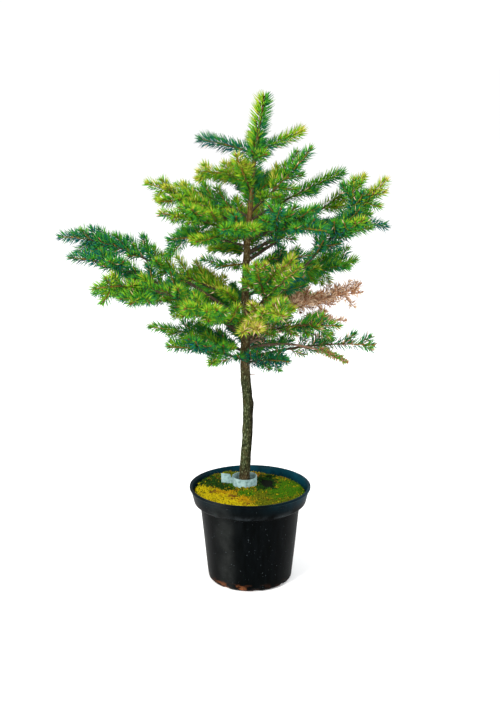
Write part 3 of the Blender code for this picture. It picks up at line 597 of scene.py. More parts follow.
def spurs(bough, line):
    """(start, line) of the shoots that are added to a bough."""
    length = along(line)[-1]
    found = []
    for share, degrees, reach in SPURS.get(bough.name, ()):
        rng = random.Random(f"{bough.name} spur {share}")
        root, tangent, _, _ = growing_point(line, share * length)
        turn = math.radians(degrees)
        leave = unit(np.array([math.cos(turn), rng.uniform(*SPUR_DEPTHS), math.sin(turn)]))
        settle = unit(leave + SHOOT_FORWARD * tangent)
        found.append((share * length, shoot_arch(root, leave, settle, reach * MM, SHOOT_STEPS)))
    return found


def side_growth(bough, line, first, length):
    """(start, line, order, seed) of a bough's shoots. Finer shoots grow only on those with a seed."""
    grown = []
    for index, (at, side) in enumerate(lateral_shoots(bough, first, length)):
        if index not in OPENINGS.get(bough.name, ()):
            kept = within_space(side, bough.name, SHORTEST_LATERAL)
            grown.append((at, kept, 1, f"{bough.name} {index} finer"))
    short = spurs(bough, line)
    if bough.cover != "dead" and bough.fan and bough.name not in CLEAN_BOUGHS:
        short += fill_shoots(bough, line, first, length)
    for at, side in short:
        grown.append((at, within_space(side, bough.name, SHORTEST_FINER), 2, None))
    return [row for row in grown if row[1] is not None]


def finer_growth(side, owner, seed, rng):
    """The finer shoots on a side shoot, each toned like the place where it starts."""
    reach = along(side.line)[-1]
    found = []
    for at, line in finer_shoots(side.line, seed):
        kept = within_space(line, owner, SHORTEST_FINER)
        if kept is None:
            continue
        shift = rng.gauss(0, FINER_MOOD)
        share = at / reach
        tone = side.root_tone * (1 - share) + side.tip_tone * share + shift
        tones = (tone, tone - FINER_FRESHER)
        found.append(Shoot(kept, *FINER_RADII, FINER_BARE, *tones, side.dry, side.cover, 2, side.group))
    return found


def tone_at(bough, share):
    share = min(1.0, share) ** (LATE_POWER if bough.name in LATE_TIPS else 1)
    return bough.root_tone + (bough.tip_tone - bough.root_tone) * share


def bough_shoots(bough):
    """Every shoot of a bough, the bough's own line first."""
    line = AXES[bough.name]
    length = along(line)[-1]
    root = bark_exit(line)
    first = root + (bough.limb * length + GAP if bough.limb else 0)
    dead = bough.cover == "dead"
    cover = COVER[bough.cover] if bough.fan > YEARLING_FAN else YEARLING_COVER
    dry = SHEDDING_DRY if bough.name in SHEDDING_BOUGHS else FRESH_DRY
    main = points_at(line, np.linspace(root - STEM_SINK, length, AXIS_STEPS))
    radii = (bough_radius(bough, root / length), BOUGH_TIP_RADIUS)
    bare = BRUSH_START * length if dead else max(first - root + STEM_SINK, LEAST_BARE)
    tones = (bough.root_tone, bough.tip_tone)
    shoots = [Shoot(main, *radii, bare, *tones, dry, cover, 0, bough.group)]
    cover = 0 if dead else cover
    rng = random.Random(bough.name + " tones")
    for at, kept, order, seed in side_growth(bough, line, first, length):
        reach = along(kept)[-1]
        mood = rng.gauss(0, SIDE_MOOD)
        root_tone = tone_at(bough, at / length) + mood + SIDE_TONES[0]
        tip_tone = tone_at(bough, (at + 1.2 * reach) / length) + mood + SIDE_TONES[1]
        radii = ((0.8 + 5 * reach) * MM, SIDE_TIP_RADIUS)
        side = Shoot(kept, *radii, SIDE_BARE, root_tone, tip_tone, dry, cover, order, bough.group)
        shoots.append(side)
        if seed and reach >= FINER_LEAST_REACH:
            shoots += finer_growth(side, bough.name, seed, rng)
    return shoots


class Soup:
    """Points and triangles gathered for one joined mesh, with a material index for each triangle."""

    def __init__(self):
        self.points = []
        self.faces = []
        self.looks = []
        self.count = 0

    def add(self, points, faces, looks):
        self.points.append(points)
        self.faces.append(faces + self.count)
        self.looks.append(np.broadcast_to(looks, len(faces)))
        self.count += len(points)

    def mesh(self, name):
        points = np.concatenate(self.points).astype(np.float32)
        faces = np.concatenate(self.faces).astype(np.int32)
        looks = np.concatenate(self.looks).astype(np.int32)
        data = bpy.data.meshes.new(name)
        data.vertices.add(len(points))
        data.vertices.foreach_set("co", points.ravel())
        data.loops.add(3 * len(faces))
        data.loops.foreach_set("vertex_index", faces.ravel())
        data.polygons.add(len(faces))
        data.polygons.foreach_set("loop_start", np.arange(0, 3 * len(faces), 3, dtype=np.int32))
        data.polygons.foreach_set("material_index", looks)
        data.update(calc_edges=True)
        data.shade_smooth()
        return data


def show(name, soup, materials, replaced=()):
    """The soup's mesh as a piece that rides on the plant's one body."""
    data = soup.mesh(name)
    for look in materials:
        data.materials.append(look)
    piece = bpy.data.objects.new(name, data)
    bpy.context.scene.collection.objects.link(piece)
    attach(piece, "root")
    if replaced:
        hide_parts(*replaced)
    return piece


def grid_faces(rows, columns, closed=True):
    """Triangles between rows of points, each row joined round on itself where it is closed."""
    last = columns if closed else columns - 1
    row, column = np.meshgrid(np.arange(rows - 1), np.arange(last), indexing="ij")
    after = (column + 1) % columns
    a = row * columns + column
    b = row * columns + after
    c = a + columns
    d = b + columns
    return np.concatenate([np.stack([a, b, d], -1).reshape(-1, 3), np.stack([a, d, c], -1).reshape(-1, 3)])


def relief(points, scale, seed):
    """Smooth noise at each point."""
    shift = Vector((seed, 2.3 * seed, -1.7 * seed))
    return np.array([noise.noise(Vector(p) * scale + shift) for p in points])


def frames(line):
    """(tangents, level sideways directions, upward directions) along a line."""
    tangents = unit(np.gradient(line, axis=0))
    level = np.cross(UP, tangents) + 1e-4 * np.array([1.0, 0.0, 0.0])
    sideways = unit(level)
    return tangents, sideways, np.cross(tangents, sideways)


def stem_rings(line, radii, sides):
    _, sideways, upward = frames(line)
    turns = np.linspace(0, 2 * math.pi, sides, endpoint=False)[None, :, None]
    around = np.cos(turns) * sideways[:, None] + np.sin(turns) * upward[:, None]
    return line[:, None] + radii[:, None, None] * around


def add_stem(soup, line, radii, sides, look_of_ring, rough=0.0, seed=0.0):
    """A tapering stem that closes to a point at its tip."""
    rings = stem_rings(line, radii, sides)
    points = rings.reshape(-1, 3)
    if rough:
        centre = np.repeat(line, sides, axis=0)
        swell = relief(points, 420.0, seed) + 0.6 * relief(points, 1100.0, seed + 5)
        points = centre + (points - centre) * (1 + rough * swell)[:, None]
    faces = grid_faces(len(line), sides)
    row = faces.min(axis=1) // sides
    base = (len(line) - 1) * sides
    close = np.array([(base + k, base + k + 1, base) for k in range(1, sides - 1)])
    looks = np.concatenate([look_of_ring[row], np.full(len(close), look_of_ring[-1])])
    soup.add(points, np.concatenate([faces, close]), looks)


def needle_places(shoot, rng):
    """Distances along a shoot at which its needles stand, thinner on older wood."""
    length = along(shoot.line)[-1]
    fine = np.linspace(shoot.bare, length, 60)
    live_limb = shoot.order == 0 and shoot.group != "dry"
    start, stretch, lost = LIMB_SHEDDING if live_limb else TWIG_SHEDDING
    weight = 1 - lost * np.clip((length - fine - start) / stretch, 0, 1)
    total = np.concatenate([[0], np.cumsum((weight[1:] + weight[:-1]) / 2 * np.diff(fine))])
    count = int(total[-1] * NEEDLES_PER_METRE * shoot.cover)
    if count < 2:
        return np.zeros(0)
    steps = (np.arange(count) + rng.uniform(0, 0.7, count)) / count
    return np.interp(steps * total[-1], total, fine)


def needle_lay(shoot, places, rng, comb=True):
    """Each needle's start, direction, youth, turn upward, and closeness to the bud."""
    line = shoot.line
    length = along(line)[-1]
    run = along(line)

    def at(vectors):
        return unit(np.stack([np.interp(places, run, vectors[:, k]) for k in range(3)], axis=-1))

    tangent, side, high = (at(vectors) for vectors in frames(line))
    turn = GOLDEN_TURN * np.arange(len(places)) + rng.normal(0, 0.18, len(places))
    lift, spread = np.sin(turn), np.cos(turn)
    if comb:
        lift = np.where(lift < 0, lift * UNDER_SHARE, lift)
    radial = unit(spread[:, None] * side + lift[:, None] * high)
    from_tip = length - places
    youth = np.clip(1 - from_tip / YOUNG, 0, 1)
    end = np.clip(1 - from_tip / LAST_STRETCH, 0, 1)
    opening = NEEDLE_OPENING - YOUNG_CLOSING * youth - UPPER_CLOSING * np.clip(lift, 0, 1) * comb
    opening = np.radians(opening - TIP_CLOSING * end + rng.normal(0, OPENING_SPREAD, len(places)))
    direction = np.cos(opening)[:, None] * tangent + np.sin(opening)[:, None] * radial
    radius = np.interp(places, [0, length], [shoot.root_radius, shoot.tip_radius])
    start = points_at(line, places) + 0.75 * radius[:, None] * radial
    return start, unit(direction), youth, lift, end


def needle_tones(shoot, places, youth, lift, rng):
    length = along(shoot.line)[-1]
    share = places / length
    tone = shoot.root_tone * (1 - share) + shoot.tip_tone * share - YOUNG_TONE * youth
    # painted shade on the needles under a shoot, painted light on those on top
    tone = tone + UNDER_SHADE_TONE * np.clip(-lift, 0, 1) / UNDER_SHARE - UPPER_LIGHT_TONE * np.clip(lift, 0, 1)
    tone = np.clip(np.round(tone + rng.normal(0, TONE_SPREAD, len(places))), 0, LAST_GREEN).astype(int)
    dry = rng.uniform(0, 1, len(places)) < shoot.dry
    return np.where(dry, np.where(rng.uniform(0, 1, len(places)) < PALE_DRY, DRY, BROWN), tone)


def add_needles(soup, start, direction, length, width, tones, rng):
    """Needles as slim three-sided spindles, pointed at both ends and curved a little upward."""
    count = len(start)
    side = unit(np.cross(direction, UP) + 1e-4)
    high = np.cross(side, direction)
    roll = rng.uniform(0, 2 * math.pi, count)
    bend = (NEEDLE_BEND * length)[:, None] * (UP + 0.3 * rng.normal(0, 1, (count, 3)))
    middle = start + (NEEDLE_WAIST * length)[:, None] * direction + NEEDLE_WAIST**2 * bend
    points = np.empty((count, 5, 3))
    points[:, 0] = start
    for k in range(3):
        turn = roll + k * 2 * math.pi / 3
        out = np.cos(turn)[:, None] * side + np.sin(turn)[:, None] * high
        points[:, 1 + k] = middle + (0.58 * width)[:, None] * out
    points[:, 4] = start + length[:, None] * direction + 1.6 * bend
    faces = np.array(NEEDLE_FACES)[None] + 5 * np.arange(count)[:, None, None]
    soup.add(points.reshape(-1, 3), faces.reshape(-1, 3), np.repeat(tones, len(NEEDLE_FACES)))


def needle_shoot(soup, shoot, rng):
    places = needle_places(shoot, rng)
    if not len(places):
        return
    start, direction, youth, lift, end = needle_lay(shoot, places, rng)
    size = YEARLING_SIZE if shoot.cover == YEARLING_COVER else 1.0
    length = size * NEEDLE_LENGTH * rng.uniform(*NEEDLE_LENGTHS, len(places)) * (1 - TIP_SHORTER * end)
    width = NEEDLE_WIDTH * rng.uniform(*NEEDLE_WIDTHS, len(places))
    if shoot.group == "dry":
        first, second, share, shorter = BRUSH_NEEDLES if shoot.cover == BRUSH_COVER else DRY_NEEDLES
        tones = np.where(rng.uniform(0, 1, len(places)) < share, first, second)
        length *= shorter
        width *= DRY_SLIMMER
        direction = unit(direction + DRY_UNRULY * rng.normal(0, 1, direction.shape))
    else:
        tones = needle_tones(shoot, places, youth, lift, rng)
    add_needles(soup, start, direction, length, width, tones, rng)


def needle_trunk(soup, low, high, density, tone_left, tone_right, rng):
    """Needles that stand on the trunk itself, all round it."""
    line = trunk_centre(np.linspace(low, high, 40))
    radii = trunk_radius(np.array([low, high]))
    shoot = Shoot(line, *radii, 0, 0, 0, 0, 1, 0, "top")
    length = along(line)[-1]
    places = np.linspace(0, length, int(length * density))
    start, direction, youth, _, end = needle_lay(shoot, places, rng, comb=False)
    # painted light and shade: needles pointing left take the lighter tone, those pointing right the darker
    sideways = np.clip(1.6 * unit(direction)[:, 0], -1, 1)
    tone = (tone_left + tone_right) / 2 + (tone_right - tone_left) / 2 * sideways
    tone = np.round(tone - 0.6 * youth + rng.normal(0, 0.7, len(places)))
    tone = np.clip(tone, 0, LAST_GREEN).astype(int)
    size = NEEDLE_LENGTH * rng.uniform(*TRUNK_NEEDLE_LENGTHS, len(places)) * (1 - 0.4 * end)
    width = NEEDLE_WIDTH * rng.uniform(*TRUNK_NEEDLE_WIDTHS, len(places))
    add_needles(soup, start, direction, size, width, tone, rng)


def stem_looks(from_tip):
    """A stem's look by its distance from the tip."""
    return np.where(from_tip < YOUNG_STEM, 0, np.where(from_tip < SECOND_STEM, 1, 2))


def budded_stem(soup, shoot, stations, radii, looks, bud, sides, **bark):
    """A shoot's stem through its stations, with a bud beyond its tip."""
    beyond, bud_radii = np.array(bud).T * MM
    ahead = unit(shoot.line[-1] - shoot.line[-2])
    line = np.concatenate([points_at(shoot.line, stations), shoot.line[-1] + beyond[:, None] * ahead])
    looks = np.concatenate([looks, np.full(len(bud), BUD_LOOK)])
    add_stem(soup, line, np.concatenate([radii, bud_radii]), sides, looks, **bark)


def twig_stem(soup, shoot):
    length = along(shoot.line)[-1]
    stations = np.linspace(0, length, max(4, int(length / TWIG_RING)))
    radii = np.interp(stations, [0, length], [shoot.root_radius, shoot.tip_radius])
    looks = stem_looks(length - stations)
    looks[-1] = BUD_LOOK
    budded_stem(soup, shoot, stations, radii, looks, TWIG_BUD, 5)


def bough_stem(soup, shoot, index):
    length = along(shoot.line)[-1]
    stations = np.linspace(0, length, max(8, int(length / BOUGH_RING)))
    radii = np.interp(stations, [0, length], [shoot.root_radius, shoot.tip_radius])
    radii *= 1 + 0.45 * np.exp(-stations / (5 * MM))
    looks = stem_looks(length - stations)
    budded_stem(soup, shoot, stations, radii, looks, BOUGH_BUD, 9, rough=0.10, seed=float(index))


def material(name, colour, roughness, specular=0.5):
    made = bpy.data.materials.new(name)
    made.use_nodes = True
    shader = made.node_tree.nodes["Principled BSDF"]
    shader.inputs["Base Color"].default_value = (*linear(colour), 1.0)
    shader.inputs["Roughness"].default_value = roughness
    shader.inputs["Specular IOR Level"].default_value = specular
    return made


def node(tree, kind, **values):
    """A node with its input sockets set by name."""
    made = tree.nodes.new(kind)
    for name, value in values.items():
        made.inputs[name.replace("_", " ")].default_value = value
    return made


def ramp(tree, source, stops):
    """A colour ramp of (place, colour) stops, fed by source."""
    made = tree.nodes.new("ShaderNodeValToRGB")
    elements = made.color_ramp.elements
    while len(elements) < len(stops):
        elements.new(0.5)
    for element, (place, colour) in zip(elements, stops):
        element.position = place
        element.color = (*linear(colour), 1.0)
    tree.links.new(source, made.inputs["Fac"])
    return made.outputs["Color"]


def mixed(tree, share, first, second):
    made = tree.nodes.new("ShaderNodeMix")
    made.data_type = "RGBA"
    tree.links.new(share, made.inputs["Factor"])
    tree.links.new(first, made.inputs["A"])
    tree.links.new(second, made.inputs["B"])
    return made.outputs["Result"]


def stretched(tree, scale=(1.0, 1.0, 1.0)):
    """Object coordinates scaled along each axis."""
    where = tree.nodes.new("ShaderNodeTexCoord")
    mapping = tree.nodes.new("ShaderNodeMapping")
    mapping.inputs["Scale"].default_value = scale
    tree.links.new(where.outputs["Object"], mapping.inputs["Vector"])
    return mapping.outputs["Vector"]


def coordinate(tree, axis):
    """One coordinate of each point, in metres."""
    apart = tree.nodes.new("ShaderNodeSeparateXYZ")
    tree.links.new(stretched(tree), apart.inputs["Vector"])
    return apart.outputs[axis]


def between(tree, value, zero_at, one_at):
    """The value's place on the way from zero_at to one_at, from 0 to 1."""
    made = node(tree, "ShaderNodeMapRange", From_Min=zero_at, From_Max=one_at)
    tree.links.new(value, made.inputs["Value"])
    return made.outputs["Result"]


def product(tree, first, second):
    made = tree.nodes.new("ShaderNodeMath")
    made.operation = "MULTIPLY"
    tree.links.new(first, made.inputs[0])
    tree.links.new(second, made.inputs[1])
    return made.outputs["Value"]


def noisy(tree, vector, scale, detail=4.0, roughness=0.6):
    made = node(tree, "ShaderNodeTexNoise", Scale=scale, Detail=detail, Roughness=roughness)
    tree.links.new(vector, made.inputs["Vector"])
    return made.outputs["Fac"]


def painted(tree, colour):
    tree.links.new(colour, tree.nodes["Principled BSDF"].inputs["Base Color"])


def bumped(tree, height, strength, distance):
    bump = node(tree, "ShaderNodeBump", Strength=strength, Distance=distance)
    tree.links.new(height, bump.inputs["Height"])
    shader = tree.nodes["Principled BSDF"]
    tree.links.new(bump.outputs["Normal"], shader.inputs["Normal"])


# Heights between which the bark's colour changes, and where its right side gets painted shade
FOOT_BARK = (0.200, 0.172)
UPPER_BARK = (0.350, 0.385)
YOUNG_BARK = (0.54, 0.68)
SHADED_SIDE = (-0.006, 0.003)
SHADED_BELOW = (0.50, 0.40)


def bark_look():
    """Flaky bark, green with algae: painted shade to the right, browner at the foot, golden where it is
    young.
    """
    made = material("bark_ridged", (50, 52, 32), 0.9, 0.05)
    tree = made.node_tree
    where = stretched(tree, (1.0, 1.0, 0.6))
    flecks = noisy(tree, where, 400.0, 3.0, 0.7)
    pale = ramp(tree, flecks, ((0.38, (6, 7, 4)), (0.54, (50, 56, 34)), (0.70, (150, 160, 122))))
    shade = ramp(tree, flecks, ((0.40, (6, 6, 4)), (0.66, (46, 42, 28))))
    algae = noisy(tree, where, 150.0)
    old = ramp(tree, algae, ((0.34, (18, 20, 10)), (0.5, (44, 52, 26)), (0.66, (62, 54, 30))))
    foot = ramp(tree, noisy(tree, where, 130.0), ((0.35, (40, 28, 19)), (0.65, (90, 64, 44))))
    upper = ramp(tree, noisy(tree, where, 170.0), ((0.35, (50, 34, 22)), (0.65, (104, 82, 52))))
    young = ramp(tree, noisy(tree, where, 150.0), ((0.35, (84, 58, 28)), (0.65, (146, 108, 56))))
    height = coordinate(tree, "Z")
    colour = mixed(tree, between(tree, height, *FOOT_BARK), old, foot)
    colour = mixed(tree, between(tree, height, *UPPER_BARK), colour, upper)
    colour = mixed(tree, between(tree, height, *YOUNG_BARK), colour, young)
    colour = mixed(tree, noisy(tree, where, 240.0, 2.0), colour, pale)
    # painted shade: the right side, away from the light, is darkened below SHADED_BELOW
    right = between(tree, coordinate(tree, "X"), *SHADED_SIDE)
    colour = mixed(tree, product(tree, right, between(tree, height, *SHADED_BELOW)), colour, shade)
    painted(tree, colour)
    bumped(tree, flecks, 0.8, 0.0009)
    return made


def grainy_look(name, base, shine, grain, stops, bump=None):
    """Colour stops run through by a grain, a noise of (scale, detail, roughness), which bump also raises."""
    made = material(name, base, *shine)
    tree = made.node_tree
    height = noisy(tree, stretched(tree), *grain)
    painted(tree, ramp(tree, height, stops))
    if bump:
        bumped(tree, height, *bump)
    return made


def bough_bark_look(name, dark, mid, pale):
    stops = ((0.3, dark), (0.52, mid), (0.75, pale))
    return grainy_look(name, mid, (0.8, 0.25), (520.0, 4.0, 0.6), stops, (0.4, 0.0004))


# Swellings of the bare trunk: height, compass angle and size
KNOTS = (
    (0.312, 10, 2.0 * MM),
    (0.302, 330, 1.4 * MM),
    (0.262, 200, 1.2 * MM),
    (0.352, 170, 1.4 * MM),
    (0.236, 300, 0.9 * MM),
    (0.336, 60, 1.2 * MM),
    (0.205, 40, 1.1 * MM),
    (0.286, 115, 1.3 * MM),
    (0.374, 250, 1.2 * MM),
)
# Dead twiglets on the bare trunk: height, compass angle and reach
STUBS = ((0.362, 350, 30 * MM), (0.330, 200, 14 * MM), (0.348, 95, 22 * MM))
STUB_STEPS = 9
TRUNK_ROWS = 420
TRUNK_SIDES = 72
TRUNK_SUNK = 1.5 * MM
COLLAR = (1.1 * MM, 5 * MM, 4.2 * MM)  # size, height and width of the swelling above a bough's root
KNOT_SPREAD = (8 * MM, 6 * MM)
FLARE_HEIGHT = 22 * MM
FLARE_LOBES = 3
BARK_RELIEF = 0.8 * MM


def swelling(heights, turns, radii, height, angle, size, tall, wide):
    """A soft bump on the trunk, as an offset at each row and side."""
    away = np.abs((turns - math.radians(angle) + math.pi) % (2 * math.pi) - math.pi)
    level = (heights[:, None] - height) / tall
    return size * np.exp(-(level**2) - (away[None] * radii[:, None] / wide) ** 2)


def build_trunk():
    """The trunk with furrowed bark, a lobed root flare, knots, and a collar round each bough's root."""
    foot = TRUNK[0][0]
    heights = np.linspace(foot - TRUNK_SUNK, TRUNK[-1][0], TRUNK_ROWS)
    centres = trunk_centre(np.maximum(heights, foot))
    centres[:, 2] = heights
    radii = trunk_radius(heights)
    turns = np.linspace(0, 2 * math.pi, TRUNK_SIDES, endpoint=False)
    swell = np.zeros((TRUNK_ROWS, TRUNK_SIDES))
    for bough in BOUGHS:
        swell += swelling(heights, turns, radii, bough.height + 1 * MM, bough.angle, *COLLAR)
    for height, angle, size in KNOTS:
        swell += swelling(heights, turns, radii, height, angle, size, *KNOT_SPREAD)
    flare = np.clip(1 - (heights - foot) / FLARE_HEIGHT, 0, 1)
    lobes = 1 + 0.10 * flare[:, None] * np.cos(FLARE_LOBES * turns + 0.6)
    circle = np.stack([np.cos(turns), np.sin(turns), np.zeros(TRUNK_SIDES)], axis=-1)
    ground = centres[:, None] + (radii[:, None] * lobes)[..., None] * circle
    furrowed = ground.reshape(-1, 3) * np.array([1.0, 1.0, 0.55])
    rough = 0.55 * relief(furrowed, 210.0, 1.0) + 0.45 * relief(furrowed, 620.0, 2.0)
    depth = np.clip(radii / (9 * MM), 0.25, 1.0)[:, None] * BARK_RELIEF
    offset = swell + rough.reshape(TRUNK_ROWS, TRUNK_SIDES) * depth
    points = (ground + offset[..., None] * circle).reshape(-1, 3)
    last = (TRUNK_ROWS - 1) * TRUNK_SIDES
    apex = TRUNK_ROWS * TRUNK_SIDES
    tip = np.array([[last + k, last + (k + 1) % TRUNK_SIDES, apex] for k in range(TRUNK_SIDES)])
    faces = np.concatenate([grid_faces(TRUNK_ROWS, TRUNK_SIDES), tip])
    soup = Soup()
    soup.add(np.concatenate([points, [centres[-1] + 2 * MM * UP]]), faces, 0)
    show("trunk_bark", soup, [bark_look()], ["trunk"])


def add_stubs(soup):
    for height, angle, reach in STUBS:
        root = trunk_centre(np.array(height))
        turn = math.radians(angle)
        tip = root + reach * np.array([math.cos(turn), math.sin(turn), 0.12])
        line = arch(root, (root + tip) / 2 + 1.5 * MM * UP, tip, STUB_STEPS)
        add_stem(soup, line, np.linspace(1.0, 0.4, STUB_STEPS) * MM, 5, np.full(STUB_STEPS, 1))


def build_stems(shoots):
    mains, twigs, dead = Soup(), Soup(), Soup()
    for index, shoot in enumerate(shoots):
        if shoot.order == 0:
            bough_stem(dead if shoot.group == "dry" else mains, shoot, index)
        else:
            twig_stem(dead if shoot.group == "dry" else twigs, shoot)
    add_stubs(dead)
    bark = [bough_bark_look(*look) for look in STEM_LOOKS]
    dry_bark = [bough_bark_look(*look) for look in DRY_STEM_LOOKS]
    show("boughs", mains, bark, [bough.name + "_limb" for bough in BOUGHS if bough.limb])
    show("twigs", twigs, bark)
    show("dead_twigs", dead, dry_bark, ["dead_bottom_right_twigs"])


def build_needles(shoots):
    """The needles, a piece for each group, every piece with all the tones."""
    tones = [material("needle_" + name, colour, 0.6, 0.1) for name, colour in TONES]
    for group in GROUPS:
        rng = np.random.default_rng(list(group.encode()))
        soup = Soup()
        for shoot in shoots:
            if shoot.group == group and shoot.cover:
                needle_shoot(soup, shoot, rng)
        names = [b.name + "_needles" for b in BOUGHS if b.group == group and b.cover != "dead"]
        if group == "top":
            for stretch in TRUNK_NEEDLES:
                needle_trunk(soup, *stretch, rng)
            names += ["needles_on_leader", "needles_under_top"]
        show("needles_" + group, soup, tones, names)


def build_crown():
    shoots = [shoot for bough in BOUGHS for shoot in bough_shoots(bough)]
    build_stems(shoots)
    build_needles(shoots)


def inner_wall():
    """The pot's inside as (radius, height), from the floor up."""
    return (
        (FOOT_RADIUS - FOOT_BEVEL - WALL, FLOOR),
        (FOOT_RADIUS - WALL, FOOT_BEVEL + FLOOR),
        (BODY_TOP_RADIUS - WALL, POT_HEIGHT - BAND_DEPTH - STEP_DEPTH + STEP_RISE),
        (BAND_FOOT_RADIUS - WALL, POT_HEIGHT - BAND_DEPTH + STEP_RISE),
        (LIP_RADIUS - LIP_WIDTH - WALL, POT_HEIGHT),
    )


def inner_pot_radius(height):
    radii, heights = zip(*inner_wall())
    return np.interp(height, heights, radii)


def eased(profile, radius, steps=4):
    """The profile with each inner corner rounded."""
    eased_line = [np.array(profile[0])]
    for before, corner, after in zip(profile, profile[1:], profile[2:]):
        before, corner, after = np.array(before), np.array(corner), np.array(after)
        back, ahead = before - corner, after - corner
        reach = min(radius, 0.45 * np.linalg.norm(back), 0.45 * np.linalg.norm(ahead))
        start, end = corner + unit(back) * reach, corner + unit(ahead) * reach
        for t in np.linspace(0, 1, steps + 1):
            eased_line.append((1 - t) ** 2 * start + 2 * t * (1 - t) * corner + t**2 * end)
    return np.array(eased_line + [np.array(profile[-1])])


def filled(line, longest):
    """The line with points added so that no step is longer than longest."""
    out = [line[0]]
    for before, after in zip(line, line[1:]):
        steps = max(1, int(np.linalg.norm(after - before) / longest))
        out += [before + (after - before) * k / steps for k in range(1, steps + 1)]
    return np.array(out)


def by_angle(tree, stops):
    """Brightness by compass angle from +X, through (degrees, brightness) stops that rise from -180 on."""
    made = tree.nodes.new("ShaderNodeTexGradient")
    made.gradient_type = "RADIAL"
    tree.links.new(stretched(tree), made.inputs["Vector"])
    return ramp(tree, made.outputs["Fac"], [(angle / 360 + 0.5, (level,) * 3) for angle, level in stops])


# Where the pot's colour changes, with painted sheen and painted reflection among it: brightness by compass
# angle, and heights
PAINTED_SHEEN_SIDE = (
    (-180, 100), (-140, 80), (-124, 230), (-117, 230), (-107, 90), (-96, 0), (-22, 0), (-6, 150), (20, 40),
)
PAINTED_REFLECTION_SIDE = ((-180, 130), (-120, 60), (-84, 40), (-40, 150), (20, 245), (100, 220), (150, 130))
CAKED_SIDE = ((-170, 90), (-150, 255), (-100, 255), (-84, 90))
PAINTED_REFLECTION_HEIGHTS = (0.146, 0.162)
WORN_BAND = ((0.1500, 0.1420), (0.1385, 0.1400))
CAKED_HEEL = (0.015, 0.004)


def pot_look():
    """Black plastic: painted sheen left of its front and at its right edge, a painted blue reflection inside
    the rim, scuffed at the band, caked at the heel.
    """
    made = material("pot_black", (2, 3, 3), 0.4, 0.02)
    tree = made.node_tree
    where = stretched(tree)
    height = coordinate(tree, "Z")
    cloud = noisy(tree, where, 34.0, 5.0)
    fine = noisy(tree, where, 900.0, 2.0, 0.5)
    grit = noisy(tree, where, 430.0, 2.0, 0.5)
    streaks = noisy(tree, stretched(tree, (1.0, 1.0, 0.16)), 120.0, 4.0)
    body = ramp(tree, streaks, ((0.35, (0, 1, 1)), (0.6, (2, 4, 5)), (0.8, (9, 11, 12))))
    # painted sheen: a dull grey where the lights would glint on the plastic, left of its front and at its
    # right edge
    painted_sheen = ramp(tree, cloud, ((0.35, (17, 19, 19)), (0.7, (36, 38, 37))))
    # painted reflection: a blue tint for the sky seen in the plastic near the rim
    painted_reflection = ramp(tree, cloud, ((0.35, (2, 34, 44)), (0.7, (10, 62, 76))))
    grey = ramp(tree, fine, ((0.3, (58, 66, 70)), (0.7, (96, 106, 110))))
    earth = ramp(tree, fine, ((0.3, (96, 52, 28)), (0.7, (150, 92, 56))))
    worn = product(tree, *(between(tree, height, *edge) for edge in WORN_BAND))
    dusty = ramp(tree, cloud, ((0.44, (0, 0, 0)), (0.68, (120, 120, 120))))
    specks = ramp(tree, grit, ((0.735, (0, 0, 0)), (0.75, (255, 255, 255))))
    clods = noisy(tree, stretched(tree, (1.0, 1.0, 2.5)), 60.0, 5.0)
    cakes = ramp(tree, clods, ((0.50, (0, 0, 0)), (0.58, (235, 235, 235))))
    heel = product(tree, between(tree, height, *CAKED_HEEL), by_angle(tree, CAKED_SIDE))
    # painted reflection, strongest on the right and the back, only near the rim
    rim = product(tree, between(tree, height, *PAINTED_REFLECTION_HEIGHTS), by_angle(tree, PAINTED_REFLECTION_SIDE))
    # painted sheen laid on by compass angle
    colour = mixed(tree, by_angle(tree, PAINTED_SHEEN_SIDE), body, painted_sheen)
    colour = mixed(tree, rim, colour, painted_reflection)
    colour = mixed(tree, product(tree, worn, dusty), colour, grey)
    colour = mixed(tree, specks, colour, grey)
    colour = mixed(tree, product(tree, heel, cakes), colour, earth)
    painted(tree, colour)
    rough = node(tree, "ShaderNodeMapRange", To_Min=0.32, To_Max=0.52)
    tree.links.new(cloud, rough.inputs["Value"])
    tree.links.new(rough.outputs["Result"], tree.nodes["Principled BSDF"].inputs["Roughness"])
    bumped(tree, fine, 0.12, 0.0002)
    return made


def cut_drains(piece):
    """The drain holes through the pot's floor, as in the source."""
    holes = bpy.data.meshes.new("drains")
    cutter = bmesh.new()
    for k in range(DRAIN_COUNT):
        turn = 2 * math.pi * k / DRAIN_COUNT
        spot = Matrix.Translation((DRAIN_CIRCLE * math.cos(turn), DRAIN_CIRCLE * math.sin(turn), FLOOR / 2))
        size = {"segments": 32, "radius1": DRAIN_RADIUS, "radius2": DRAIN_RADIUS, "depth": 4 * FLOOR}
        bmesh.ops.create_cone(cutter, cap_ends=True, matrix=spot, **size)
    cutter.to_mesh(holes)
    cutter.free()
    drains = bpy.data.objects.new("drains", holes)
    bpy.context.scene.collection.objects.link(drains)
    cut = piece.modifiers.new("drains", "BOOLEAN")
    cut.operation = "DIFFERENCE"
    cut.object = drains
    cut_mesh = bpy.data.meshes.new_from_object(piece.evaluated_get(bpy.context.evaluated_depsgraph_get()))
    piece.modifiers.clear()
    piece.data = cut_mesh
    bpy.data.objects.remove(drains)


